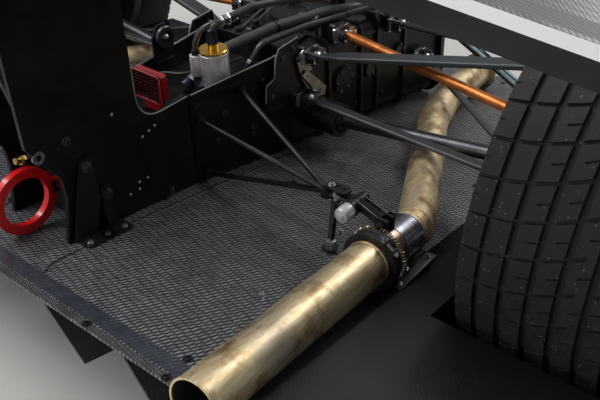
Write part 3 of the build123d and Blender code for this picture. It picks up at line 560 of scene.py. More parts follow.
@dataclass(frozen=True)
class TreadRubber(Finish):
    """Worn tyre rubber, brown with dust.

    Attributes:
        grit: colour of the grit in it.
    """

    roughness: float = 0.75
    grit: Colour = (0.32, 0.27, 0.22)

    def paint(self, sheet: Sheet) -> None:
        """Add the nodes.

        Args:
            sheet: the node tree to add to.
        """
        dust = sheet.noise(40.0, 5.0, 0.7)
        light = tuple(value * 1.7 for value in self.colour)
        dark = tuple(value * 0.6 for value in self.colour)
        rubber = sheet.blend(sheet.fade(dust, 0.35, 0.7), dark, light)
        speck = sheet.fade(sheet.cells(170.0), 0.1, 0.2, 1.0, 0.0)
        rare = sheet.fade(sheet.noise(60.0, 1.0), 0.56, 0.62)
        sheet.put("Base Color", sheet.blend(sheet.sum("MULTIPLY", speck, rare), rubber, self.grit))
        sheet.put("Roughness", sheet.fade(dust, *NOISE_SPAN, self.roughness * 0.9, 0.9))
        rough = sheet.noise(500.0, 3.0, 0.7)
        sheet.put("Normal", sheet.bump(rough, 0.0002, 1.0, sheet.bump(speck, 0.0006, 0.6)))


@dataclass(frozen=True)
class RibbedLens(Finish):
    """Dark red moulded lens with a grid of small domes.

    Attributes:
        pitch: distance between two domes in metres.
    """

    roughness: float = 0.2
    pitch: float = 0.0065

    def paint(self, sheet: Sheet) -> None:
        """Add the nodes.

        Args:
            sheet: the node tree to add to.
        """
        x, _, z = sheet.axes(sheet.spread((math.pi / self.pitch,) * 3))
        domes = sheet.sum("MULTIPLY", sheet.sum("SINE", x), sheet.sum("SINE", z))
        domes = sheet.sum("ABSOLUTE", domes)
        dark = tuple(value * 0.05 for value in self.colour)
        sheet.put("Base Color", sheet.blend(sheet.fade(domes, 0.3, 0.9), dark, self.colour))
        sheet.put("Roughness", self.roughness)
        sheet.put("Coat Weight", 0.6)
        sheet.put("Normal", sheet.bump(domes, 0.0012))


@dataclass(frozen=True)
class PlainFloor(Finish):
    """Pale studio floor."""

    def paint(self, sheet: Sheet) -> None:
        """Add the nodes.

        Args:
            sheet: the node tree to add to.
        """
        sheet.put("Base Color", (*self.colour, 1.0))
        sheet.put("Roughness", 0.9)


CASE_BLACK = Finish("case_black", (0.004, 0.004, 0.0045), 0.42, grain=0.003, relief=0.0003, wear=0.5,
                    gloss=0.4)
# The side panels' satin carbon fades to painted shade forwards along Y, near the tyres.
SATIN_CARBON = WovenCloth("satin_carbon", (0.032, 0.033, 0.035), 0.38, tow=0.002, wear=0.3, swell=0.00006,
                          warp=(0.027, 0.027, 0.029), weft=(0.015, 0.015, 0.016), painted_shade_span=(-0.98, -0.74))
PYLON_BLACK = Finish("pylon_black", (0.0016, 0.0017, 0.002), 0.42, grain=0.02, relief=0.0001, wear=0.4,
                     gloss=0.22)
FLOOR_CLOTH = RibbedCloth("floor_cloth", (0.25, 0.255, 0.272), 0.3, wear=0.45, coat=0.3, slant=-0.75)
EDGE_CLOTH = RibbedCloth("edge_cloth", (0.15, 0.153, 0.16), 0.35, wear=0.6, rib=0.0034,
                         grain_length=0.0058, swell=0.0005, lean=0.6)
RESIN = RibbedCloth("resin_band", (0.062, 0.07, 0.09), 0.24, gap=(0.014, 0.017, 0.026), wear=0.75,
                    swell=0.00015, coat=0.6, slant=-0.75)
# Near-black for the tube along the floor's crease: painted shade.
CREASE_SHADE = Finish("painted_crease_shade", (0.004, 0.004, 0.005), 0.5, grain=0.004, relief=0.0002, wear=0.4)
SATIN_BLACK = Finish("satin_black", (0.004, 0.004, 0.0045), 0.4, wear=0.4, gloss=0.3)
# Pale grey for thin tubes along the edges of black parts: painted highlight.
EDGE_HIGHLIGHT = Finish("painted_edge_highlight", (0.3, 0.31, 0.32), 0.3, 0.4, wear=0.4)
WING_CLOTH = RibbedCloth("wing_cloth", (0.2, 0.2, 0.19), 0.3, gap=(0.07, 0.07, 0.066), wear=0.25,
                         rib=0.0036, grain_length=0.011, lean=math.radians(45.0), slant=0.2, swell=0.0001,
                         coat=0.5)
# Near-black for the wing lip's rear band: partly the lip's own black face, partly painted shade.
LIP_BLACK_AND_SHADE = Finish("lip_black_and_painted_shade", (0.008, 0.008, 0.008), 0.4, wear=0.4, gloss=0.3)
WING_WHITE = Finish("wing_white", (0.95, 0.95, 0.95), 0.2, wear=0.02, relief=0.00001, coat=0.8)
ARM_PAINT = Finish("arm_paint", (0.02, 0.024, 0.027), 0.42, grain=0.002, relief=0.00008, wear=0.2)
BRIGHT_TUBE = BrushedMetal("bright_tube", (0.05, 0.07, 0.075), tint=(0.14, 0.18, 0.19),
                           along=(20, 900, 900))
COPPER_WRAP = Finish("copper_wrap", (0.42, 0.13, 0.027), 0.4, 0.7, grain=0.012, relief=0.0006, wear=0.5)
BRIGHT_STEEL = BrushedMetal("bright_steel", (0.5, 0.52, 0.55), roughness=0.26, tint=(0.34, 0.35, 0.37))
SILVER = BrushedMetal("silver", (0.78, 0.79, 0.8), metallic=0.45, tint=(0.6, 0.61, 0.62))
DULL_ALLOY = BrushedMetal("dull_alloy", (0.5, 0.48, 0.45), roughness=0.42, tint=(0.24, 0.23, 0.21))
DULL_STEEL = BrushedMetal("dull_steel", (0.16, 0.16, 0.17), roughness=0.35, tint=(0.08, 0.08, 0.085))
CHROME = BrushedMetal("chrome", (0.78, 0.8, 0.83), roughness=0.14, tint=(0.7, 0.72, 0.75), relief=0.000005)
BLUED_STEEL = BrushedMetal("blued_steel", (0.5, 0.55, 0.62), roughness=0.25, tint=(0.3, 0.3, 0.34))
STRAP_STEEL = BrushedMetal("strap_steel", (0.5, 0.34, 0.28), tint=(0.3, 0.18, 0.13))
COIL_STEEL = BrushedMetal("coil_steel", (0.72, 0.6, 0.4), tint=(0.4, 0.3, 0.18))
BRASS = BrushedMetal("brass", (0.62, 0.42, 0.14), roughness=0.28, tint=(0.4, 0.25, 0.08))
NAVY_ANODISED = Finish("navy_anodised", (0.008, 0.011, 0.024), 0.28, 0.5, wear=0.4)
RED_ANODISED = BrushedMetal("red_anodised", (0.55, 0.02, 0.02), roughness=0.28, tint=(0.4, 0.012, 0.012))
SOOT = Finish("soot", (0.006, 0.005, 0.004), 0.9, grain=0.003, relief=0.0003, wear=0.5)
DARK_STEEL = BrushedMetal("dark_steel", (0.06, 0.06, 0.065), roughness=0.4, tint=(0.1, 0.1, 0.11))
BLACK_OXIDE = Finish("black_oxide", (0.02, 0.02, 0.022), 0.35, 0.6, wear=0.5)
BARE_ALLOY = BrushedMetal("bare_alloy", (0.62, 0.63, 0.65), tint=(0.5, 0.51, 0.53))
TURNED_ALLOY = BrushedMetal("turned_alloy", (0.72, 0.73, 0.75), metallic=0.45,
                            along=(12, 12, 1400), tint=(0.6, 0.61, 0.63))
GOLD_ANODISED = BrushedMetal("gold_anodised", (0.84, 0.55, 0.12), roughness=0.24, tint=(0.74, 0.44, 0.08))
EXHAUST_STEEL = HeatTintedSteel("exhaust_steel", (0.95, 0.81, 0.55), 0.46, straw=(0.74, 0.55, 0.29),
                                brown=(0.36, 0.2, 0.085))
RED_PAINT = Finish("red_paint", (0.66, 0.008, 0.01), 0.3, wear=0.12, grain=0.004, relief=0.00006, coat=0.5)
LAMP_RED = Finish("lamp_red", (0.42, 0.01, 0.015), 0.3, wear=0.2)
LAMP_LENS = RibbedLens("lamp_lens", (0.16, 0.008, 0.012))
LAMP_EDGE = Finish("lamp_edge", (0.7, 0.03, 0.035), 0.25, wear=0.15, coat=0.5)
HOSE_RUBBER = Finish("hose_rubber", (0.05, 0.05, 0.047), 0.33, grain=0.0016, relief=0.00012, wear=0.3)
TREAD_RUBBER = TreadRubber("tread_rubber", (0.0165, 0.0148, 0.0132))
RIM_PAINT = Finish("rim_paint", (0.02, 0.02, 0.022), 0.35, wear=0.3, coat=0.3)
CARBON_DISC = Finish("carbon_disc", (0.045, 0.045, 0.048), 0.6, grain=0.004, relief=0.00012, wear=0.4)
STUDIO_FLOOR = PlainFloor("studio_floor", (0.5, 0.49, 0.47))

NODE_FINISH: dict[Finish, tuple[str, ...]] = {
    CASE_BLACK: ("gearbox_case", "brake_calipers"),
    SATIN_CARBON: ("side_panel_right", "side_panel_left", "diffuser_strakes"),
    PYLON_BLACK: ("crash_box", "wing_pylons"),
    FLOOR_CLOTH: ("floor_panel",),
    WING_CLOTH: ("wing_main", "wing_flap", "wing_endplates"),
    ARM_PAINT: ("upper_wishbones", "lower_rear_links", "lower_front_links"),
    BRIGHT_TUBE: ("pushrods",),
    COPPER_WRAP: ("toe_links",),
    DARK_STEEL: ("half_shaft_right", "half_shaft_left", "output_flanges", "pylon_brace"),
    BLACK_OXIDE: ("exhaust_struts", "exhaust_hangers", "hub_right", "hub_left", "band_clamps", "rockers"),
    BARE_ALLOY: ("pickup_brackets", "uprights"),
    TURNED_ALLOY: ("catch_tank",),
    GOLD_ANODISED: ("tank_cap",),
    EXHAUST_STEEL: ("exhaust_pipes", "tail_pipes"),
    RED_PAINT: ("tow_ring",),
    LAMP_RED: ("rain_light_housing",),
    LAMP_LENS: ("rain_light_lens",),
    HOSE_RUBBER: ("water_hose", "vent_hose", "tank_hose"),
    RIM_PAINT: ("rim_right", "rim_left"),
    CARBON_DISC: ("brake_disc_right", "brake_disc_left"),
    TREAD_RUBBER: ("tyre_right", "tyre_left"),
}


# Shapes


def through(points: Sequence[Vector], steps: int = 6) -> list[Vector]:
    """Points of a smooth line that passes through the given ones.

    Args:
        points: the points to pass through, in metres.
        steps: pieces in each span.

    Returns:
        The points of the line.
    """
    line: list[Vector] = []
    for number in range(len(points) - 1):
        first, last = points[number], points[number + 1]
        before = points[max(number - 1, 0)]
        after = points[min(number + 2, len(points) - 1)]
        line += geometry.interpolate_bezier(first, first + (last - before) / 6, last - (after - first) / 6,
                                            last, steps + 1)[:-1]
    return line + [points[-1]]


def route(places: Places, steps: int = 6) -> list[Vector]:
    """Points of a smooth line through places of the car, with some steps in each span."""
    return through([at(*place) for place in places], steps)


SIDE_AXES = Matrix(((0, 0, 1, 0), (1, 0, 0, 0), (0, 1, 0, 0), (0, 0, 0, 1)))
REAR_AXES = Matrix(((1, 0, 0, 0), (0, 0, -1, 0), (0, 1, 0, 0), (0, 0, 0, 1)))


def side_face(x: float) -> Matrix:
    """Axes of the upright plane at x: stations, heights and the way to the right."""
    return Matrix.Translation(at(x, 0, 0)) @ SIDE_AXES


def rear_face(station: float) -> Matrix:
    """Axes of the upright plane at a station: x, heights and the way rearwards."""
    return Matrix.Translation(at(0, station, 0)) @ REAR_AXES


def floor_face(x: float, station: float) -> Matrix:
    """Axes of the floor's upper face at a place: across, forwards and up."""
    return Matrix.Translation(on_floor(x, station)) @ Matrix.Rotation(-FLOOR_SLOPE, 4, "X")


class Surface:
    """The surface of a CAD node, for finding where a piece sits on it."""

    def __init__(self, node: str) -> None:
        """Take the mesh of a node, whose object sits at the origin."""
        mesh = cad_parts[node].data
        self.tree = BVHTree.FromPolygons([v.co for v in mesh.vertices], [p.vertices for p in mesh.polygons])

    def under(self, start: Vector, direction: Sequence[float]) -> Vector:
        """The first point of the surface from a start along a direction, or the start."""
        place = self.tree.ray_cast(start, Vector(direction))[0]
        return start if place is None else place


class Shape:
    """A mesh made with bmesh operators: its points are in metres and its sizes in millimetres."""

    def __init__(self) -> None:
        """Start an empty mesh."""
        self.bm = bmesh.new()
        self.finishes: list[Finish] = []

    def index(self, finish: Finish) -> int:
        """Material index of a finish on this piece.

        Args:
            finish: the finish.

        Returns:
            Its index.
        """
        if finish not in self.finishes:
            self.finishes.append(finish)
        return self.finishes.index(finish)

    def dress(self, verts: Iterable[bmesh.types.BMVert], finish: Finish) -> None:
        """Give a finish to the faces that have all their corners among some vertices.

        Args:
            verts: the vertices.
            finish: the finish.
        """
        chosen = set(verts)
        number = self.index(finish)
        for vert in chosen:
            for face in vert.link_faces:
                if chosen.issuperset(face.verts):
                    face.material_index = number

    @staticmethod
    def aim(centre: Vector, direction: Sequence[float]) -> Matrix:
        """Matrix that takes +Z to a direction and the origin to a centre."""
        return Matrix.Translation(centre) @ Vector(direction).to_track_quat("Z", "Y").to_matrix().to_4x4()

    def soften(self, verts: Verts, edges: Iterable[bmesh.types.BMEdge], width: float) -> Verts:
        """Bevel some edges of a form.

        Args:
            verts: the form's vertices.
            edges: the edges to bevel.
            width: width of the bevel.

        Returns:
            The form's vertices after it.
        """
        bent = bmesh.ops.bevel(self.bm, geom=list(edges), offset=width / 1000, segments=2, profile=0.5,
                               affect="EDGES", material=-1)["verts"]
        return list({v for v in verts if v.is_valid} | set(bent))

    def drum(self, centre: Vector, direction: Sequence[float], radius: float, length: float, finish: Finish,
             top: float | None = None, segments: int = 24, edge: float = 0.0) -> Verts:
        """Add a cylinder or cone that starts at a centre.

        Args:
            centre: middle of its first end.
            direction: the way it points.
            radius: radius at the first end.
            length: length along the direction.
            finish: its finish.
            top: radius at the far end, if it differs.
            segments: sides.
            edge: width of the bevel on the far rim.

        Returns:
            Its vertices.
        """
        depth = length / 1000
        axis = Vector(direction).normalized()
        far_radius = radius if top is None else top
        move = self.aim(centre, axis) @ Matrix.Translation((0, 0, depth / 2))
        verts = bmesh.ops.create_cone(self.bm, cap_ends=True, segments=segments, radius1=radius / 1000,
                                      radius2=far_radius / 1000, depth=depth, matrix=move)["verts"]
        if edge:
            far = centre + axis * depth
            rim = {e for v in verts for e in v.link_edges
                   if all((w.co - far).dot(axis) > -depth * 0.01 for w in e.verts)}
            verts = self.soften(verts, rim, edge)
        self.dress(verts, finish)
        return verts

    def screw(self, centre: Vector, direction: Sequence[float], radius: float, finish: Finish,
              height: float | None = None, washer: float = 1.5) -> None:
        """Add a washer and a cap screw's head with its hexagon socket.

        Args:
            centre: where the washer rests.
            direction: outward normal.
            radius: radius of the head.
            finish: its finish.
            height: height of the head, if not its radius.
            washer: washer radius as a multiple of the head's.
        """
        rise = radius if height is None else height
        thin = radius * 0.22
        axis = Vector(direction).normalized()
        self.drum(centre, axis, radius * washer, thin, finish, segments=18, edge=thin * 0.3)
        head = self.drum(centre + axis * thin / 1000, axis, radius, rise, finish, segments=16,
                         edge=radius * 0.12)
        far = centre + axis * (thin + rise) / 1000
        faces = {f for v in head for f in v.link_faces if len(f.verts) > 4}
        top = [f for f in faces if (f.calc_center_median() - far).length < radius * 0.00005]
        bmesh.ops.inset_individual(self.bm, faces=top, thickness=radius * 0.0004, depth=0)
        bmesh.ops.inset_individual(self.bm, faces=top, thickness=radius * 0.00002, depth=-rise * 0.0006)

    def nut(self, centre: Vector, direction: Sequence[float], radius: float, finish: Finish) -> None:
        """Add a washer and a hexagon nut with a stud end through it.

        Args:
            centre: where the washer rests.
            direction: outward normal.
            radius: radius of the nut's corners.
            finish: its finish.
        """
        axis = Vector(direction).normalized()
        self.drum(centre, axis, radius * 1.25, radius * 0.18, finish, segments=18)
        self.drum(centre, axis, radius, radius * 1.05, finish, segments=6, edge=radius * 0.12)
        self.drum(centre, axis, radius * 0.5, radius * 1.5, finish, segments=12, edge=radius * 0.1)

    def rivet(self, centre: Vector, direction: Sequence[float], radius: float, finish: Finish) -> None:
        """Add a domed rivet head."""
        self.drum(centre, direction, radius, radius * 0.5, finish, top=radius * 0.45, segments=14,
                  edge=radius * 0.12)

    def block(self, centre: Vector, size: Sequence[float], finish: Finish, turn: Matrix | None = None,
              edge: float = 0.0) -> None:
        """Add a box with bevelled edges.

        Args:
            centre: its middle.
            size: lengths along its own axes.
            finish: its finish.
            turn: rotation of its axes.
            edge: width of the bevel.
        """
        move = Matrix.Translation(centre) @ (turn.to_4x4() if turn else Matrix.Identity(4))
        scale = Matrix.Diagonal((*(length / 1000 for length in size), 1.0))
        verts = bmesh.ops.create_cube(self.bm, size=1.0, matrix=move @ scale)["verts"]
        if edge:
            verts = self.soften(verts, {e for v in verts for e in v.link_edges}, edge)
        self.dress(verts, finish)

    def ring(self, centre: Vector, axis: Sequence[float], profile: Sequence[Pair], finish: Finish,
             steps: int = 40) -> None:
        """Add a closed profile, spun full turn.

        Args:
            centre: point on the axis that the profile counts from.
            axis: the axis.
            profile: distance along the axis and radius of each corner.
            finish: its finish.
            steps: steps in the turn.
        """
        place = self.aim(centre, axis)
        before = set(self.bm.verts)
        corners = [place @ (Vector((radius, 0, along)) / 1000) for along, radius in profile]
        start = [self.bm.verts.new(corner) for corner in corners]
        edges = [self.bm.edges.new((start[i - 1], start[i])) for i in range(len(start))]
        bmesh.ops.spin(self.bm, geom=start + edges, cent=centre, axis=Vector(axis).normalized(),
                       angle=2 * math.pi, steps=steps, use_merge=True)
        self.dress([v for v in self.bm.verts if v not in before], finish)

    def bead(self, centre: Vector, axis: Sequence[float], radius: float, half: float,
             finish: Finish) -> None:
        """Add a weld bead or rounded lip round an axis: its radius, and half of its width."""
        profile = [(half * math.cos(math.tau * k / 8), radius + half * math.sin(math.tau * k / 8))
                   for k in range(8)]
        self.ring(centre, axis, profile, finish)

    def rod(self, start: Vector, end: Vector, radius: float, finish: Finish, segments: int = 14) -> None:
        """Add a round bar between two points."""
        self.drum(start, end - start, radius, (end - start).length * 1000, finish, segments=segments)

    def tube(self, path: Sequence[Vector], radius: float, finish: Finish, segments: int = 12) -> None:
        """Add a round tube with closed ends along a line of points.

        Args:
            path: points of its middle line.
            radius: its radius.
            finish: its finish.
            segments: sides.
        """
        turn = (path[1] - path[0]).to_track_quat("Z", "Y")
        rings: list[list[bmesh.types.BMEdge]] = []
        verts: Verts = []
        for number, point in enumerate(path):
            ahead = path[min(number + 1, len(path) - 1)] - path[max(number - 1, 0)]
            turn = (turn @ Vector((0, 0, 1))).rotation_difference(ahead) @ turn
            place = Matrix.Translation(point) @ turn.to_matrix().to_4x4()
            ends = number in (0, len(path) - 1)
            made = bmesh.ops.create_circle(self.bm, cap_ends=ends, segments=segments, radius=radius / 1000,
                                           matrix=place)["verts"]
            verts += made
            rings.append(list({e for v in made for e in v.link_edges}))
        for first, last in zip(rings, rings[1:]):
            bmesh.ops.bridge_loops(self.bm, edges=first + last)
        self.dress(verts, finish)

    def plate(self, outline: Sequence[Pair], thickness: float, finish: Finish, place: Matrix,
              holes: Sequence[Place] = ()) -> None:
        """Add a flat plate with round holes.

        Args:
            outline: its corners on the first two axes of its place.
            thickness: its thickness along the third axis.
            finish: its finish.
            place: matrix of its axes.
            holes: middle and radius of each hole.
        """
        start = [self.bm.verts.new(place @ (Vector((u, v, 0)) / 1000)) for u, v in outline]
        edges = [self.bm.edges.new((start[i - 1], start[i])) for i in range(len(start))]
        for u, v, radius in holes:
            move = place @ Matrix.Translation(Vector((u, v, 0)) / 1000)
            made = bmesh.ops.create_circle(self.bm, segments=16, radius=radius / 1000, matrix=move)
            start += made["verts"]
            edges += list({e for vert in made["verts"] for e in vert.link_edges})
        filled = bmesh.ops.triangle_fill(self.bm, use_beauty=True, use_dissolve=False, edges=edges)
        faces = [f for f in filled["geom"] if isinstance(f, bmesh.types.BMFace)]
        raised = bmesh.ops.extrude_face_region(self.bm, geom=faces, use_keep_orig=True)["geom"]
        top = [v for v in raised if isinstance(v, bmesh.types.BMVert)]
        lift = (place.to_3x3() @ Vector((0, 0, 1))).normalized() * thickness / 1000
        bmesh.ops.translate(self.bm, verts=top, vec=lift)
        self.dress(start + top, finish)

    def mirror(self) -> None:
        """Copy everything to the car's other side."""
        geom = list(self.bm.verts) + list(self.bm.edges) + list(self.bm.faces)
        bmesh.ops.mirror(self.bm, geom=geom, axis="X", merge_dist=-1)

    def link(self, name: str) -> bpy.types.Object:
        """Turn the mesh into an object of the scene.

        Args:
            name: the object's name.

        Returns:
            The object.
        """
        mesh = bpy.data.meshes.new(name)
        self.bm.to_mesh(mesh)
        self.bm.free()
        for finish in self.finishes:
            mesh.materials.append(finish.material())
        made = bpy.data.objects.new(name, mesh)
        bpy.context.scene.collection.objects.link(made)
        return made

    def finish(self, name: str, body: Body = Body.CHASSIS, smooth: float = 35.0,
               slot: str | None = None) -> bpy.types.Object:
        """Turn the mesh into an object that rides on a body.

        Args:
            name: the object's name.
            body: the body that it rides on.
            smooth: largest angle in degrees that is shaded smooth.
            slot: not used.

        Returns:
            The object.
        """
        bmesh.ops.recalc_face_normals(self.bm, faces=list(self.bm.faces))
        for edge in self.bm.edges:
            edge.smooth = len(edge.link_faces) != 2 or edge.calc_face_angle(0) < math.radians(smooth)
        for face in self.bm.faces:
            face.smooth = True
        made = self.link(name)
        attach(made, body.value)
        log.info("%s: %d faces on %s", name, len(made.data.polygons), body.value)
        return made


@dataclass
class Dressing(Shape):
    """A piece that holds the small parts of one sub-assembly.

    Attributes:
        name: the piece's name.
        mirrored: whether what stands on the right is copied to the left.
    """

    name: ClassVar[str] = "dressing"
    mirrored: ClassVar[bool] = False

    def __post_init__(self) -> None:
        """Start with an empty mesh."""
        super().__init__()

    def add(self) -> None:
        """Add the parts to the mesh."""
        raise NotImplementedError

    def build(self) -> None:
        """Make the piece."""
        self.add()
        if self.mirrored:
            self.mirror()
        self.finish(self.name)


WHEELS = {1: ("right", Body.WHEEL_RIGHT), -1: ("left", Body.WHEEL_LEFT)}
# Places of the flags in a point of the tyre's outline
CUT, NICKED = 2, 3


@dataclass
class Tyre(Dressing):
    """Treaded tyre with its ribs, grooves, cross cuts and short nicks.

    Attributes:
        side: 1 for the right wheel, -1 for the left.
        grooves: offset and width of each groove that runs round the tyre.
        groove_depth: their depth.
        crown_drop: fall of the tread from its middle to its edge.
        cut_depth: depth of a cross cut.
        nick_depth: depth of a nick.
        nick: length of a nick across the tread.
        inboard_nicks: ribs with a nick in their inboard edge, counted from the car.
        outboard_nicks: ribs with a nick in their outboard edge.
        edge: offset where the tread turns into the shoulder.
        shoulder: offset and radius of the last point that a cut reaches.
        wall: the same of the points down the outside to the bead and up the inside.
        blocks: number of cross cuts round the tyre.
        cut: angle that a cross cut takes, in degrees.
        nick_angle: angle that a nick takes.
        slant: turn of a cut in degrees for each millimetre near the middle.
        easing: how much the slant falls for each millimetre outwards.
        phase: angle of the first cut at the middle plane, in degrees up from the rear.
    """

    side: int
    grooves: Pairs = ((-115.2, 9.2), (-76.8, 10.2), (-37.0, 10.3), (1.5, 10.5), (40.0, 10.3), (78.5, 10.2),
                      (116.0, 9.2))
    groove_depth: float = 7.0
    crown_drop: float = 7.0
    cut_depth: float = 6.0
    nick_depth: float = 4.0
    nick: float = 12.0
    inboard_nicks: tuple[int, ...] = (5,)
    outboard_nicks: tuple[int, ...] = (2, 3, 4)
    edge: float = 139.0
    shoulder: Pair = (148.0, 345.5)
    wall: Pairs = ((152.2, 338.0), (153.2, 328.0), (155.0, 298.0), (151.5, 277.0), (144.0, 262.0),
                   (136.0, 252.0), (131.0, 248.5), (131.0, 228.8), (113.0, 229.2), (137.0, 298.0),
                   (127.0, 334.0))
    blocks: int = 41
    cut: float = 0.95
    nick_angle: float = 0.6
    slant: float = 0.084
    easing: float = 0.00025
    phase: float = 7.1

    def crown(self, x: float) -> float:
        """Radius of the tread at an offset from the middle plane."""
        return AXLE_HEIGHT - self.crown_drop * (x / self.edge) ** 2

    def profile(self) -> list[tuple[float, float, bool, bool]]:
        """Closed outline of (offset, radius, cut, nicked) points.

        Returns:
            The points; cut ones drop at a cross cut, and nicked ones midway between two cuts.
        """
        starts = [-self.edge] + [x + width / 2 for x, width in self.grooves]
        ends = [x - width / 2 for x, width in self.grooves] + [self.edge]
        half_cut, draft = len(self.grooves) // 2 + 1, 1.0
        points: list[tuple[float, float, bool, bool]] = []
        for rib, (first, last) in enumerate(zip(starts, ends)):
            for step, x in enumerate((first, first + self.nick, last - self.nick, last)):
                inboard = step < 2
                nicked = rib in (self.inboard_nicks if inboard else self.outboard_nicks)
                points.append((x, self.crown(x), inboard or rib != half_cut, nicked))
            if rib < len(self.grooves):
                bottom = self.crown(last) - self.groove_depth
                for x in (last + draft, starts[rib + 1] - draft):
                    points.append((x, bottom, False, False))
        outside = [(*self.shoulder, True, True)] + [(x, radius, False, False) for x, radius in self.wall]
        return points + outside + [(-x, *rest) for x, *rest in reversed(outside)]

    def block_of_tread(self, centre: Vector, pitch: float) -> None:
        """Spin the outline through one block, with its cut and its nicks, and slant it.

        Args:
            centre: middle of the wheel.
            pitch: angle from one cut to the next, in degrees.
        """
        bm = self.bm
        cut_wall, nick_wall = 0.12, 0.1
        half = pitch * 0.5
        nick_end = half + self.nick_angle
        rings = [0.0, cut_wall, self.cut - cut_wall, self.cut, half, half + nick_wall,
                 nick_end - nick_wall, nick_end, pitch * 0.8, pitch]
        drops = {1: (CUT, self.cut_depth), 2: (CUT, self.cut_depth), 5: (NICKED, self.nick_depth),
                 6: (NICKED, self.nick_depth)}
        outline = self.profile()
        column = bm.verts.layers.int.new("column")
        start = []
        for number, (x, radius, _, _) in enumerate(outline):
            vert = bm.verts.new(centre + Vector((self.side * x, -radius, 0)) / 1000)
            vert[column] = number
            start.append(vert)
        geom = start + [bm.edges.new((start[i - 1], start[i])) for i in range(len(start))]
        turned = [start]
        for first, last in zip(rings, rings[1:]):
            made = bmesh.ops.spin(bm, geom=geom, cent=centre, axis=Vector((1, 0, 0)),
                                  angle=-math.radians(last - first), steps=1)
            geom = made["geom_last"]
            turned.append([v for v in geom if isinstance(v, bmesh.types.BMVert)])
        for number, (flag, depth) in drops.items():
            outward = Matrix.Rotation(-math.radians(rings[number]), 3, "X") @ Vector((0, -1, 0))
            low = [v for v in turned[number] if outline[v[column]][flag]]
            bmesh.ops.translate(bm, verts=low, vec=-outward * depth / 1000)
        for number, (x, *_) in enumerate(outline):
            verts = [v for v in bm.verts if v[column] == number]
            lean = x * (self.slant - self.easing * abs(x))
            turn = Matrix.Rotation(-math.radians(lean + self.phase), 3, "X")
            bmesh.ops.rotate(bm, verts=verts, cent=centre, matrix=turn)

    def add(self) -> None:
        """Repeat one block of tread round the wheel."""
        bm = self.bm
        centre = at(self.side * WHEEL_X, 0, AXLE_HEIGHT)
        pitch = 360.0 / self.blocks
        self.block_of_tread(centre, pitch)
        sector = list(bm.verts) + list(bm.edges) + list(bm.faces)
        for block in range(1, self.blocks):
            copy = bmesh.ops.duplicate(bm, geom=sector)["geom"]
            verts = [v for v in copy if isinstance(v, bmesh.types.BMVert)]
            turn = Matrix.Rotation(-math.radians(pitch * block), 3, "X")
            bmesh.ops.rotate(bm, verts=verts, cent=centre, matrix=turn)
        bmesh.ops.remove_doubles(bm, verts=list(bm.verts), dist=0.00002)
        self.dress(bm.verts, TREAD_RUBBER)

    def build(self) -> None:
        """Make the tyre in place of its CAD solid."""
        self.add()
        name, body = WHEELS[self.side]
        made = self.finish(f"treaded_tyre_{name}", body, smooth=30.0, slot="tyre")
        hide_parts(f"tyre_{name}")


# Pieces that dress the frame


RIGHTWARD = Vector((1, 0, 0))
LEFTWARD = Vector((-1, 0, 0))
FORWARD = Vector((0, 1, 0))
REARWARD = Vector((0, -1, 0))
SKYWARD = Vector((0, 0, 1))
DOWN = Vector((0, 0, -1))
UP = Vector((0, math.sin(FLOOR_SLOPE), math.cos(FLOOR_SLOPE)))


@dataclass
class FloorDressing(Dressing):
    """Edge cloth, resin band, painted crease shade and fasteners of the floor.

    Attributes:
        half: half of the width that the edge strips cover.
        edge: where the edge cloth starts and ends ahead of the trailing edge, and its thickness.
        band: the same of the resin band.
        crease: x and station of points along the floor's crease beside the crash box.
        crease_shade_radius: radius of the near-black tube laid along the crease as painted shade.
        crease_shade_sink: depth of its middle below the floor's face.
        screws: x and station of the screws.
        nuts: x and station of the nuts.
    """

    name = "floor_dressing"
    half: float = 519.5
    edge: Place = (0.4, 13.0, 0.8)
    band: Place = (15.5, 43.0, 0.35)
    crease: Pairs = ((116, -674), (104, -650), (103, -597), (101, -524), (102, -446), (107, -367),
                   (112, -280), (121, -170), (124, -60))
    crease_shade_radius: float = 5.2
    crease_shade_sink: float = 4.0
    screws: Pairs = ((427, -712), (421, -667), (262, -711), (206, -180), (470, 60), (470, 240), (470, 420),
                     (470, 590), (330, 610))
    nuts: Pairs = ((399, -492), (377, -259), (160, 600), (250, 606))

    def add(self) -> None:
        """Add the strips, both sides' painted crease shade and fasteners."""
        place = floor_face(0, FLOOR_REAR)
        for (near, far, rise), finish in ((self.edge, EDGE_CLOTH), (self.band, RESIN)):
            outline = ((-self.half, near), (self.half, near), (self.half, far), (-self.half, far))
            self.plate(outline, rise, finish, place)
        for side in (1, -1):
            # Painted shade: a near-black tube, barely proud of the floor, along each crease.
            line = through([on_floor(side * x, station, -self.crease_shade_sink) for x, station in self.crease], 4)
            self.tube(line, self.crease_shade_radius, CREASE_SHADE, 12)
            for x, station in self.screws:
                self.screw(on_floor(side * x, station), UP, 4.6, BLACK_OXIDE, 2.6, 1.7)
            for x, station in self.nuts:
                self.nut(on_floor(side * x, station), UP, 6.0, BRIGHT_STEEL)


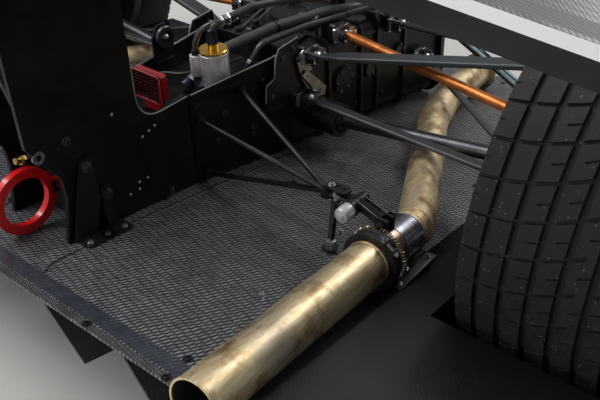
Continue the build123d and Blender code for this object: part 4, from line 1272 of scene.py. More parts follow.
@dataclass
class ExhaustDressing(Dressing):
    """Sleeve, strap, coil ring, band clamp, beads, soot, rest and flange of the exhaust.

    Attributes:
        start: x, station and lift of the last straight run's first end.
        joint: the same of the slip joint.
        end: the same of the tail pipe's end.
        flange: the same of the front flange.
        elbow: the same of the pipe's next point behind the flange.
        pipe: radius of the front pipe.
        tail: radius of the tail pipe.
        sleeve_profile: distance along the pipe and radius of the sleeve's corners.
        strap_profile: the same of the strap over the saddle.
        collar_profile: the same of the coil ring's collar.
        soot_profile: the same of the soot inside the tail pipe.
        flange_profile: the same of the front flange.
    """

    name = "exhaust_dressing"
    mirrored = True
    start: Place = (498.0, -212.0, 47.0)
    joint: Place = (503.7, -348.0, 49.0)
    end: Place = (525.4, -754.0, 49.0)
    flange: Place = (212.0, 540.0, 40.0)
    elbow: Place = (240.0, 345.0, 40.0)
    pipe: float = 33.0
    tail: float = 37.0
    sleeve_profile: Pairs = ((0, 32.6), (0, 35.2), (2, 36.8), (54, 36.8), (55, 32.6))
    strap_profile: Pairs = ((-11.6, 38.1), (-11.6, 38.9), (11.6, 38.9), (11.6, 38.1))
    collar_profile: Pairs = ((-4.6, 32.6), (-4.6, 42), (-3.4, 43.4), (3.4, 43.4), (4.2, 42), (4.2, 32.6))
    soot_profile: Pairs = ((0, 35.38), (258, 35.38), (258, 35.0), (0, 35.0))
    flange_profile: Pairs = ((0, 31.5), (0, 46), (8, 46), (8, 32.8), (3, 31.5))

    def strap(self, centre: Vector, axis: Vector) -> None:
        """Thin strap with rolled edges, its lug and its wire loop.

        Args:
            centre: middle of the saddle.
            axis: the way along the pipe.
        """
        self.ring(centre, axis, self.strap_profile, STRAP_STEEL)
        for along in (-11.0, 11.0):
            self.bead(centre + axis * along / 1000, axis, 38.9, 0.9, STRAP_STEEL)
        out = Vector((1, 0, -0.35)).normalized()
        seat = centre + out * 0.0385
        turn = out.to_track_quat("X", "Y").to_matrix()
        self.block(seat + out * 0.002, (8, 9, 9), BLACK_OXIDE, turn, 1.2)
        self.bead(seat + out * 0.009, (0.2, 1, 0.3), 4.2, 0.9, BRIGHT_STEEL)

    def coil_ring(self, centre: Vector, axis: Vector) -> None:
        """Coil ring round a collar between the strap and the band clamp.

        Args:
            centre: middle of the collar.
            axis: the way along the pipe.
        """
        self.ring(centre, axis, self.collar_profile, DARK_STEEL)
        place = axis.to_track_quat("Z", "Y").to_matrix()
        coil, loop, loops, loop_steps = 46.8, 3.4, 62, 7
        steps = loops * loop_steps
        path = []
        for step in range(steps + 1):
            round_pipe = math.tau * step / steps
            round_wire = math.tau * step / loop_steps
            radius = coil + loop * math.cos(round_wire)
            spot = (radius * math.cos(round_pipe), radius * math.sin(round_pipe),
                    loop * math.sin(round_wire))
            path.append(centre + place @ Vector(spot) / 1000)
        self.tube(path, 1.0, COIL_STEEL, 6)

    def band_clamp(self, centre: Vector, axis: Vector) -> None:
        """Ridges, lugs and T-bolt of the band clamp.

        Args:
            centre: middle of the clamp.
            axis: the way along the pipe.
        """
        for along in (-9.5, -4.5, 4.5, 9.5):
            self.bead(centre + axis * along / 1000, axis, 47.0, 1.2, BLACK_OXIDE)
        out = Vector((0.62, 0, 0.78))
        across = Vector((0.78, 0, -0.62))
        for way in (-1, 1):
            lug = centre + out * 0.0505 + across * way * 0.009
            self.block(lug, (4, 16, 9), BLACK_OXIDE, Matrix.Rotation(math.radians(38.4), 3, "Y"), 0.8)
        head = centre + out * 0.051
        self.rod(head - across * 0.016, head + across * 0.018, 2.6, BRIGHT_STEEL)
        self.nut(head + across * 0.0115, across, 4.6, BRIGHT_STEEL)
        self.drum(head - across * 0.011, -across, 4.4, 3.5, BRIGHT_STEEL, segments=6, edge=0.5)

    def rest(self) -> None:
        """Flat rest beside the pipe on two feet, screwed to the side panel."""
        panel = Surface("side_panel_right")
        feet = [panel.under(at(552, station, 400), DOWN) for station in (-345, -262)]
        top = max(foot.z for foot in feet) + 0.004
        for foot in feet:
            self.rod(foot - SKYWARD * 0.001, Vector((foot.x, foot.y, top)), 6.0, BLACK_OXIDE)
            self.screw(Vector((foot.x, foot.y, top + 0.003)), SKYWARD, 4.0, DULL_STEEL, 3.0)
        middle = (feet[0] + feet[1]) / 2
        self.block(Vector((middle.x, middle.y, top + 0.0015)), (22, 104, 3), BLACK_OXIDE, edge=0.8)

    def front(self) -> None:
        """Flange at the front end with its nuts and its bead."""
        front, elbow = on_floor(*self.flange), on_floor(*self.elbow)
        ahead = (elbow - front).normalized()
        self.ring(front, ahead, self.flange_profile, EXHAUST_STEEL)
        for turn in (math.radians(degrees) for degrees in (90, 210, 330)):
            out = Vector((math.cos(turn), 0, math.sin(turn)))
            self.nut(front + out * 0.0395 + ahead * 0.008, ahead, 4.2, BRIGHT_STEEL)
        self.bead(front + ahead * 0.012, ahead, self.pipe, 1.4, EXHAUST_STEEL)

    def add(self) -> None:
        """Add what stands on the right."""
        start, joint, end = (on_floor(*place) for place in (self.start, self.joint, self.end))
        run, last = (joint - start).normalized(), (end - joint).normalized()
        sleeve = start.lerp(joint, 0.25)
        self.ring(sleeve, run, self.sleeve_profile, BLUED_STEEL)
        for along in (-2.4, 1.2):
            self.bead(sleeve + run * along / 1000, run, 34.4, 1.6, BLUED_STEEL)
        self.strap(start.lerp(joint, 0.743), run)
        self.coil_ring(joint - run * 0.0153, run)
        self.band_clamp(joint, run)
        self.bead(joint + last * 0.016, last, self.tail, 1.2, EXHAUST_STEEL)
        self.bead(end - last * 0.0014, last, self.tail - 0.2, 1.4, EXHAUST_STEEL)
        self.ring(end - last * 0.26, last, self.soot_profile, SOOT)
        for share in (0.006, 0.15):
            self.bead(start.lerp(joint, share), run, self.pipe, 1.1, EXHAUST_STEEL)
        self.rest()
        self.front()


@dataclass
class HangerDressing(Dressing):
    """Cover plate, channel, damper end, post nuts and rod end of the exhaust's hanger.

    Attributes:
        cover: x and station of the corners of the knuckle's cover plate.
        cover_holes: x, station and radius of its holes.
        cover_height: height of its lower face.
        ear: x, station and height of the pipe saddle's ear.
        channel: the same of the channel's ends.
        damper: place of the damper's end.
        foot: x and station of the post's foot.
        head: place of the rod end on the post.
    """

    name = "hanger_dressing"
    mirrored = True
    cover: Pairs = ((362, -265), (402, -265), (408, -270), (408, -282), (402, -287), (362, -287))
    cover_holes: Places = ((384, -275, 4.2), (397, -275, 2.8))
    cover_height: float = 358.5
    ear: Place = (498.0, -313.0, 362.0)
    channel: tuple[Place, Place] = ((430, -275, 350), (494, -308, 365))
    damper: Place = (424, -298, 347)
    foot: Pair = (398.0, -317.0)
    head: Place = (387, -286, 346)

    def channel_walls(self) -> None:
        """Side walls of the channel, each with a thin bright rod along its upper edge as a painted
        highlight.
        """
        start, end = (at(*place) for place in self.channel)
        along = (end - start).normalized()
        across = along.cross(SKYWARD).normalized()
        turn = Matrix((along, -across, across.cross(along) * -1)).transposed()
        edge, half = SKYWARD * 0.0078, 0.0095
        for way in (-1, 1):
            aside = across * way * half
            size = ((end - start).length * 1000, 2.4, 15)
            self.block(start.lerp(end, 0.5) + aside, size, DARK_STEEL, turn, 0.5)
            # Painted highlight: a thin bright steel rod along each wall's upper edge.
            self.rod(start + aside + edge, end + aside + edge, 1.2, BRIGHT_STEEL, 8)

    def add(self) -> None:
        """Add what stands on the right."""
        self.plate(self.cover, 3.5, BLACK_OXIDE, Matrix.Translation(at(0, 0, self.cover_height)),
                   self.cover_holes)
        self.screw(at(372, -276, self.cover_height + 3.5), SKYWARD, 4.4, BRIGHT_STEEL, 3.4)
        ear = at(*self.ear) + REARWARD * 0.006
        self.nut(ear, REARWARD, 7.0, BLACK_OXIDE)
        self.screw(ear + FORWARD * 0.030, FORWARD, 5.0, BLACK_OXIDE)
        self.channel_walls()
        damper = at(*self.damper)
        self.drum(damper, REARWARD, 13.6, 25, SILVER, segments=12, edge=3.5)
        self.drum(damper + REARWARD * 0.025, REARWARD, 7.0, 3, SILVER, segments=6, edge=0.6)
        self.ring(damper, FORWARD, ((-1, 12), (-1, 15), (7, 15), (7, 12)), BLACK_OXIDE, 28)
        x, station = self.foot
        foot = on_floor(x, station)
        self.screw(on_floor(x + 9, station + 1), UP, 2.6, BRIGHT_STEEL, 1.6, 1.2)
        self.ring(foot, UP, ((0, 6.2), (0, 15.5), (2.6, 15.5), (2.6, 6.2)), BRIGHT_STEEL, 28)
        for lift in (2.6, 12.4):
            self.drum(foot + UP * lift / 1000, UP, 11.0, 9.0, BRIGHT_STEEL, segments=6, edge=1.0)
        head = at(*self.head)
        self.ring(head, (0.6, 0.8, 0), ((-5.5, 5.5), (-5.5, 10.5), (5.5, 10.5), (5.5, 5.5)), BRIGHT_STEEL,
                  28)
        self.rod(head, head + SKYWARD * 0.014, 3.4, BRIGHT_STEEL)


@dataclass
class TankDressing(Dressing):
    """Straps, union, filter and breather hose of the catch tank.

    Attributes:
        centre: x and station of the tank's middle.
        radius: its radius.
        neck: height of its neck's top.
        straps: heights of its straps.
        lip: height of the lip round its top.
        filter: place of the filter's foot.
        breather: places along the breather hose.
    """

    name = "tank_dressing"
    centre: Pair = (50.0, -205.0)
    radius: float = 27.0
    neck: float = 501.0
    straps: Pair = (398.0, 419.0)
    lip: float = 482.0
    filter: Place = (26, -227, 440)
    breather: Places = ((26, -227, 488), (28, -225, 505), (34, -218, 522), (43, -206, 532),
                        (54, -190, 536), (58, -172, 537))

    def strap(self, height: float) -> None:
        """Strap round the tank with its block and its screw.

        Args:
            height: height of its middle.
        """
        middle = at(*self.centre, height)
        band = ((-4, self.radius), (-4, self.radius + 1.2), (4, self.radius + 1.2), (4, self.radius))
        self.ring(middle, SKYWARD, band, BRIGHT_STEEL)
        out = Vector((-0.35, -0.94, 0))
        seat = middle + out * (self.radius + 3) / 1000
        self.block(seat, (9, 7, 9), BRIGHT_STEEL, out.to_track_quat("Y", "Z").to_matrix(), 0.8)
        self.screw(seat + out * 0.003, out, 3.0, BLACK_OXIDE, 3.0, 1.1)

    def breather_hose(self) -> None:
        """Hose that climbs from the filter, with its couplings."""
        places = [at(*place) for place in self.breather]
        self.tube(through(places), 5.6, HOSE_RUBBER, 12)
        run = (places[-1] - places[-2]).normalized()
        self.drum(places[-2], run, 9.5, 9, BRIGHT_STEEL, segments=6, edge=0.9)
        self.drum(at(56.5, -179, 536.5), run, 10.0, 12, CHROME, segments=6, edge=1.0)
        self.drum(places[-1], run, 8.4, 10, NAVY_ANODISED, segments=18, edge=0.8)
        self.rod(places[-1], at(66, -146, 541), 5.6, HOSE_RUBBER)

    def add(self) -> None:
        """Add all of it."""
        top = at(*self.centre, self.neck)
        self.drum(top, SKYWARD, 11.5, 14, NAVY_ANODISED, segments=6, edge=1.0)
        self.ring(top, SKYWARD, ((14, 6.5), (14, 9.5), (26, 9.0), (27, 7.2)), NAVY_ANODISED, 24)
        for height in self.straps:
            self.strap(height)
        self.bead(at(*self.centre, self.lip), SKYWARD, self.radius - 0.4, 1.6, TURNED_ALLOY)
        foot = at(*self.filter)
        self.drum(foot, SKYWARD, 12.0, 40, TURNED_ALLOY, segments=28, edge=2.5)
        self.drum(foot - SKYWARD * 0.006, SKYWARD, 9.0, 6, BLACK_OXIDE, segments=24)
        self.rod(foot + Vector((0.006, 0.004, 0.012)), at(42, -211, 452), 5.0, BLACK_OXIDE)
        self.drum(foot + SKYWARD * 0.040, SKYWARD, 8.2, 9, NAVY_ANODISED, segments=6, edge=0.8)
        self.breather_hose()


@dataclass
class HoseDressing(Dressing):
    """Collars and clip plate of the hoses, and the rain light's lead.

    Attributes:
        collars: centre, the way along, radius and length of each collar.
        lamp_lead: places along the rain light's lead.
    """

    name = "hose_dressing"
    collars: tuple[tuple[Place, Place, float, float], ...] = (
        ((2, -240, 411), (0.06, 0.9, 0.42), 13.4, 16.0), ((46, -120, 410), (0.2, 0.6, 0.77), 8.6, 14.0),
        ((120, 70, 506), (-0.2, -0.75, 0.3), 9.4, 15.0), ((48, -30, 466), (0.3, 0.94, 0.0), 12.4, 7.0),
        ((128, 190, 456), (0.2, 0.97, 0.1), 12.4, 7.0), ((118, 110, 460.3), (0.0, 1.0, 0.0), 7.6, 7.0))
    lamp_lead: Places = ((-14, -316, 448), (-20, -296, 452), (-26, -262, 441), (-22, -232, 428),
                         (-10, -200, 422), (14, -160, 424), (30, -110, 428))

    def add(self) -> None:
        """Add all of it."""
        hexagon_from = 10
        for centre, way, radius, length in self.collars:
            start, along = at(*centre), Vector(way).normalized()
            self.drum(start, along, radius, length, NAVY_ANODISED, segments=20, edge=1.0)
            if length > hexagon_from:
                self.drum(start + along * length / 1000, along, radius * 0.92, length * 0.5, BRIGHT_STEEL,
                          segments=6, edge=0.8)
        turn = Matrix.Rotation(math.radians(-14), 3, "Z")
        self.block(at(70, 48, 465.5), (46, 12, 4), BLACK_OXIDE, turn, 1.2)
        for x, station in ((54, 44), (88, 52)):
            self.screw(at(x, station, 467.5), SKYWARD, 3.6, BRIGHT_STEEL, 3.0)
            self.rod(at(x, station, 424), at(x, station, 466), 3.4, DARK_STEEL)
        self.tube(route(self.lamp_lead), 3.4, HOSE_RUBBER, 10)


@dataclass
class PylonDressing(Dressing):
    """Fasteners and gussets of the pylons and the crash box wall, with pale tubes on their edges as painted
    highlights.

    Attributes:
        bolts: station and height of the pylon's bolts.
        gusset_bolts: the same of the bolts through the gussets.
        rivets: the same of the pylon's rivets.
        wall_bolts: the same of the bolts in the crash box wall.
        washer: the same of the pylon's washer.
        nut_place: the same of the nut at the pylon's foot.
        sweep: the same of the middle of the bend in the painted edge highlight.
        sweep_radius: radius of the bend.
    """

    name = "pylon_dressing"
    mirrored = True
    bolts: Pairs = ((-563, 482), (-590, 860), (-460, 860))
    gusset_bolts: Pairs = ((-541, 426), (-512, 358))
    rivets: Pairs = ((-419, 335), (-438, 336), (-440, 323), (-461, 323), (-470, 485), (-387, 425),
                     (-401, 421), (-416, 417))
    wall_bolts: Pairs = ((-289, 420), (-229, 379), (-162, 321), (-163, 306), (-131, 408), (-154, 317),
                         (-225, 375), (-250, 330), (-90, 340), (-90, 415))
    washer: Pair = (-616, 479)
    nut_place: Pair = (-375, 285)
    sweep: Pair = (-372, 491)
    sweep_radius: float = 46.0

    def gusset(self, corners: Sequence[Pair], foot: float) -> None:
        """Upright gusset with a foot screwed to the floor.

        Args:
            corners: station and height of its corners.
            foot: station of its foot's middle.
        """
        self.plate(corners, 4.0, SATIN_BLACK, side_face(PYLON_FACE + 3))
        pad = floor_face(PYLON_FACE, foot)
        self.plate(((0, -30), (32, -30), (36, -24), (36, 24), (32, 30), (0, 30)), 3.0, SATIN_BLACK, pad)
        for shift in (-18, 18):
            self.screw(on_floor(PYLON_FACE + 22, foot + shift, 3), UP, 4.2, BRIGHT_STEEL, 3.2)

    def painted_edge_highlights(self) -> None:
        """Pale tubes along the wall's upper rim and its sweep up to the pylon, as painted highlights."""
        station, height = self.sweep
        x = PYLON_FACE - 0.6
        edge = [at(x, -306, 445), at(x, -340, 445)]
        for step in range(9):
            turn = math.radians(90 * step / 8)
            edge.append(at(x, station - self.sweep_radius * math.sin(turn),
                           height - self.sweep_radius * math.cos(turn)))
        edge.append(at(x, -418, 560))
        # Painted highlight: pale tubes along the rim and the sweep.
        self.tube(edge, 1.3, EDGE_HIGHLIGHT, 8)
        self.rod(at(80.2, -300, 445), at(105.5, -64, 445), 1.4, EDGE_HIGHLIGHT, 8)

    def add(self) -> None:
        """Add what stands on the right."""
        clear, reach = 200, 0.19
        pylon, wall = Surface("wing_pylons"), Surface("crash_box")
        for surface, places, radius in ((pylon, self.bolts, 5.6), (wall, self.wall_bolts, 3.8)):
            for station, height in places:
                seat = surface.under(at(clear, station, height), LEFTWARD)
                if seat.x < reach:
                    self.screw(seat, RIGHTWARD, radius, DULL_STEEL, radius * 0.8)
        for station, height in self.gusset_bolts:
            self.screw(at(PYLON_FACE + 7, station, height), RIGHTWARD, 6.0, DULL_STEEL, 5.0, 1.7)
        for station, height in self.rivets:
            seat = pylon.under(at(clear, station, height), LEFTWARD)
            self.rivet(seat, RIGHTWARD, 3.0, BRIGHT_STEEL)
        self.ring(at(PYLON_FACE, *self.washer), RIGHTWARD, ((0, 5), (0, 11), (2.2, 11), (2.2, 5)),
                  BRIGHT_STEEL, 28)
        self.nut(at(PYLON_FACE, *self.nut_place), RIGHTWARD, 7.0, DULL_STEEL)
        low = floor_height(-560) + 4
        self.gusset(((-552, 440), (-530, 440), (-522, low - 4), (-590, low + 2)), -556)
        self.gusset(((-521, 372), (-503, 372), (-497, low - 9), (-545, low)), -520)
        self.painted_edge_highlights()


@dataclass
class GearboxDressing(Dressing):
    """Bolts, brackets, cables and sensors of the gearbox.

    Attributes:
        discs: station and height of each side cover, with its bolt circle's radius and bolts.
        covers: station, width and length of each top cover.
        unions: x, station and radius of the oil unions on them.
        studs: station and height of single bolts on the sides.
        pale: station and height of the corners of the pale bracket plate.
        pale_holes: station, height and radius of its holes.
        strut: the same of the slanting plate's corners.
        strut_holes: the same of its holes.
        pale_bolts: station and height of the bolts through both.
        shield: station and height of the shield plate's corners, those under its painted edge highlight
            first.
        shield_bolts: the same of its bolts.
        leads: places along each sensor lead.
        idler: place of the middle of the round guide.
        idler_plate: station and height of the corners of its bracket.
    """

    name = "gearbox_dressing"
    discs: tuple[tuple[float, float, float, int], ...] = ((92, 322, 25, 6), (176, 318, 15.5, 5),
                                                          (268, 330, 11.5, 4))
    covers: Places = ((6, 140, 76), (104, 120, 78))
    unions: Places = ((-36, 6, 11), (22, 108, 9))
    studs: Pairs = ((-30, 120), (-30, 200), (-30, 380), (30, 110), (30, 400), (132, 110), (132, 250),
                    (132, 390), (220, 120), (220, 240), (220, 400), (330, 130), (330, 260), (330, 410),
                    (375, 180), (375, 340), (375, 440))
    pale: Pairs = ((-54, 426), (-32, 438), (-22, 400), (-8, 392), (-4, 352), (-18, 344), (-40, 378))
    pale_holes: Places = ((-40, 410, 4), (-16, 366, 3))
    strut: Pairs = ((-44, 388), (-30, 396), (30, 336), (26, 318), (8, 322))
    strut_holes: Places = ((-30, 382, 3), (10, 336, 3))
    pale_bolts: Pairs = ((-47, 424), (-12, 380), (18, 334))
    shield: Pairs = ((-41, 467), (-98, 463), (-108, 446), (-113, 408), (-137, 402), (-141, 367),
                     (-128, 340), (-60, 334), (-38, 360))
    shield_bolts: Pairs = ((-90, 440), (-122, 372), (-60, 350), (-58, 450))
    leads: tuple[Places, ...] = (
        ((-58, -20, 428), (-70, 60, 440), (-88, 150, 446), (-104, 240, 458), (-110, 330, 470)),
        ((-40, -8, 430), (-52, 70, 444), (-64, 160, 450), (-80, 250, 464), (-86, 340, 478)),
        ((104, 60, 392), (118, 120, 402), (134, 190, 398), (152, 270, 404), (166, 350, 420)))
    idler: Place = (-78, -209, 481)
    idler_plate: Pairs = ((-236, 430), (-184, 430), (-184, 484), (-198, 506), (-220, 506), (-236, 484))

    def side_bolts(self, case: Surface, side: int) -> None:
        """Bolts of the covers and joints on one side.

        Args:
            case: the gearbox case.
            side: 1 for the right, -1 for the left.
        """
        out = Vector((side, 0, 0))
        places = []
        for station, height, radius, count in self.discs:
            for turn in (math.tau * k / count for k in range(count)):
                places.append((station + radius * math.cos(turn), height + radius * math.sin(turn), 3.4))
        places += [(station, height, 4.4) for station, height in self.studs]
        for station, height, radius in places:
            start = at(side * 260, station, height)
            seat = case.under(start, -out)
            if seat != start:
                self.screw(seat, out, radius, DULL_STEEL, radius * 0.8)

    def top_bolts(self, case: Surface) -> None:
        """Bolts round the top covers and the oil unions on them.

        Args:
            case: the gearbox case.
        """
        for station, across, along in self.covers:
            for x in (-across / 2 + 6, 0, across / 2 - 6):
                for shift in (-along / 2 + 6, along / 2 - 6):
                    seat = case.under(at(x, station + shift, 600), DOWN)
                    self.screw(seat, SKYWARD, 3.8, DULL_STEEL, 3.2)
        for x, station, radius in self.unions:
            seat = case.under(at(x, station, 600), DOWN)
            self.drum(seat, SKYWARD, radius, 9, NAVY_ANODISED, segments=6, edge=0.9)
            self.drum(seat + SKYWARD * 0.009, SKYWARD, radius * 0.7, 10, BLACK_OXIDE, edge=1.0)

    def brackets(self, side: int) -> None:
        """Pale bracket plates and the thin shield plate on one side, with a painted highlight along the
        shield's edge.

        Args:
            side: 1 for the right, -1 for the left.
        """
        out = Vector((side, 0, 0))
        self.plate(self.pale, 3.0, DULL_ALLOY, side_face(side * 118), self.pale_holes)
        self.plate(self.strut, 3.0, DULL_ALLOY, side_face(side * 124), self.strut_holes)
        for station, height in self.pale_bolts:
            self.rod(at(side * 96, station, height), at(side * 122, station, height), 3.6, DARK_STEEL)
            self.screw(at(side * 122, station, height), out, 4.2, DULL_STEEL, 3.2)
        self.plate(self.shield, 2.5, SATIN_BLACK, side_face(side * 112))
        # Painted highlight: a pale tube along the shield's upper edges.
        edge = [at(side * 113.5, station, height) for station, height in self.shield[:6]]
        self.tube(edge, 1.3, EDGE_HIGHLIGHT, 8)
        outer = side * (114.5 if side > 0 else 112)
        for station, height in self.shield_bolts:
            self.rod(at(side * 94, station, height), at(side * 113, station, height), 4.0, DARK_STEEL)
            self.screw(at(outer, station, height), out, 4.0, DULL_STEEL, 3.2)

    def cables(self) -> None:
        """Sensor leads with their plugs, and the two sensors at the rear."""
        for places in self.leads:
            line = route(places, 5)
            self.tube(line, 3.2, HOSE_RUBBER, 10)
            for number in (0, 12):
                step = (line[number + 1] - line[number]).normalized()
                self.drum(line[number], step, 5.2, 12, BLACK_OXIDE, segments=16, edge=0.7)
        self.drum(at(-58, -22, 418), SKYWARD, 8.0, 18, BLACK_OXIDE, segments=6, edge=1.0)
        self.drum(at(-40, -10, 418), SKYWARD, 7.0, 16, BRIGHT_STEEL, segments=6, edge=1.0)

    def guide(self) -> None:
        """Round guide with its cone bolt on a bracket inside the trough's left wall."""
        self.plate(self.idler_plate, 4.0, SATIN_BLACK, side_face(-82))
        self.block(at(-80, -210, 432), (10, 44, 4), SATIN_BLACK, edge=0.8)
        centre = at(*self.idler)
        self.ring(centre, RIGHTWARD, ((0, 13), (0, 20), (2, 21.5), (8, 21.5), (10, 20), (10, 13)),
                  DULL_STEEL, 36)
        self.drum(centre, RIGHTWARD, 13.2, 6, BLACK_OXIDE, segments=32)
        self.drum(centre + RIGHTWARD * 0.006, RIGHTWARD, 8.0, 8, BRIGHT_STEEL, top=3.5, segments=20,
                  edge=0.6)

    def add(self) -> None:
        """Add all of it."""
        case = Surface("gearbox_case")
        for side in (1, -1):
            self.side_bolts(case, side)
        self.top_bolts(case)
        for side in (1, -1):
            self.brackets(side)
        self.cables()
        self.guide()
        for x in (-150, 150):
            for height in (200, 400):
                self.ring(at(x, 406, height), REARWARD, ((0, 7), (0, 13), (2.5, 13), (2.5, 7)),
                          BRIGHT_STEEL, 28)


@dataclass
class ArmDressing(Dressing):
    """Pivot bolts, rod-end rings and bracket screws of the suspension.

    Attributes:
        pivots: x, station and height of each inner pivot.
        lug: distance from a pivot to its bracket's outer face.
        collar: profile of the ring round a rod end.
    """

    name = "arm_dressing"
    mirrored = True
    pivots: Places = ((126, 2, 412), (172, 235, 408), (132, -31, 334), (184, 325, 296), (144, 80, 434))
    lug: float = 19.0
    collar: Pairs = ((-5, 4.5), (-5, 9), (-3, 11.5), (3, 11.5), (5, 9), (5, 4.5))

    def add(self) -> None:
        """Add what stands on the right."""
        bracket = Surface("pickup_brackets")
        for x, station, height in self.pivots:
            self.screw(at(x, station - self.lug, height), REARWARD, 5.6, BLACK_OXIDE, 4.6)
            self.nut(at(x, station + self.lug, height), FORWARD, 5.8, BRIGHT_STEEL)
            self.ring(at(x, station, height), FORWARD, self.collar, BRIGHT_STEEL, 28)
            for shift in (-18, 18):
                for rise in (-10, 10):
                    start = at(x + 40, station + shift, height + rise)
                    seat = bracket.under(start, LEFTWARD)
                    if seat != start:
                        self.screw(seat, RIGHTWARD, 2.6, BLACK_OXIDE, 2.0, 1.3)


@dataclass
class WingDressing(Dressing):
    """White stripe, near-black lip band and screws of the wing; the lip band is partly the lip's own black
    face and partly painted shade.

    Attributes:
        rows: x and fall of the wing's underside at places along its span.
        foot: height of the lip's lower edge at the middle.
        lower: height of the stripe's lower edge there.
        upper: height of its upper edge.
        rear: station of the lip's rear face.
        endplate: x of the inner face of an endplate, where its screws sit.
        screws: station and height of each.
    """

    name = "wing_dressing"
    rows: Pairs = ((-937.4, 39.0), (-560.0, 6.0), (0.0, 0.0), (560.0, 6.0), (937.4, 39.0))
    foot: float = 926.2
    lower: float = 947.0
    upper: float = 957.6
    rear: float = -700.0
    endplate: float = 938.2
    screws: Pairs = ((-420, 850), (-420, 900), (-640, 840), (-560, 870), (-500, 890))

    def add(self) -> None:
        """Add all of it."""
        # The lower band's near-black is partly the lip's own colour and partly painted shade.
        bands = ((self.lower, self.upper, 0.5, WING_WHITE), (self.foot, self.lower, 0.4, LIP_BLACK_AND_SHADE))
        for (x0, fall0), (x1, fall1) in zip(self.rows, self.rows[1:]):
            for low, high, rise, finish in bands:
                outline = ((x0, low - fall0), (x1, low - fall1), (x1, high - fall1), (x0, high - fall0))
                self.plate(outline, rise, finish, rear_face(self.rear))
        for side in (1, -1):
            for station, height in self.screws:
                self.screw(at(side * self.endplate, station, height), (-side, 0, 0), 5.0, BRIGHT_STEEL, 3.0)


@dataclass
class LampDressing(Dressing):
    """Bezel, screws and connector of the rain light.

    Attributes:
        station: station of the lens face.
        middle: height of its middle.
        width: width of the lens.
        height: height of the lens.
        margin: distance of the bezel's middle line from the lens' edge.
        corner: length of the bezel's cut corners.
        inset: distance of a screw from the bezel.
    """

    name = "lamp_dressing"
    station: float = -331.0
    middle: float = 452.0
    width: float = 80.0
    height: float = 57.0
    margin: float = 1.6
    corner: float = 4.0
    inset: float = 5.5

    def add(self) -> None:
        """Add all of it."""
        half, tall = self.width / 2 - self.margin, self.height / 2 - self.margin
        near, low = half - self.corner, tall - self.corner
        corners = ((-near, tall), (near, tall), (half, low), (half, -low), (near, -tall), (-near, -tall),
                   (-half, -low), (-half, low), (-near, tall), (0, tall))
        self.tube([at(x, self.station, self.middle + z) for x, z in corners], 1.9, LAMP_EDGE, 10)
        for x in (-1, 1):
            for z in (-1, 1):
                place = at(x * (half - self.inset), self.station - 1.0,
                           self.middle + z * (tall - self.inset))
                self.screw(place, REARWARD, 2.4, BLACK_OXIDE, 1.6, 1.3)
        self.drum(at(0, self.station + 20, self.middle), FORWARD, 8.0, 9, BLACK_OXIDE, segments=6,
                  edge=0.8)


@dataclass
class TowDressing(Dressing):
    """Bolts of the tow ring's stub, and the short hose with its brass fitting above it.

    Attributes:
        centre: station and height of the ring's middle.
        thickness: its thickness.
        hose: places along the hose.
    """

    name = "tow_dressing"
    centre: Pair = (-612.0, 364.0)
    thickness: float = 12.0
    hose: Places = ((0, -546, 434), (0, -560, 437), (0, -590, 436), (0, -611, 439))

    def add(self) -> None:
        """Add all of it."""
        station, height = self.centre
        for side in (1, -1):
            for turn in (math.radians(28), math.radians(-28)):
                place = at(side * self.thickness / 2, station + 62 * math.cos(turn),
                           height + 14 * math.sin(turn))
                self.screw(place, (side, 0, 0), 3.6, BLACK_OXIDE, 3.0)
        self.tube(route(self.hose), 3.6, HOSE_RUBBER, 10)
        way = (0, -0.95, 0.3)
        self.drum(at(0, -594, 434), way, 8.0, 9, BRASS, segments=6, edge=0.8)
        self.drum(at(0, -602, 437), way, 5.6, 10, BRASS, segments=16, edge=0.8)
        self.block(at(0, -541, 434), (30, 3, 22), SATIN_BLACK, edge=0.8)


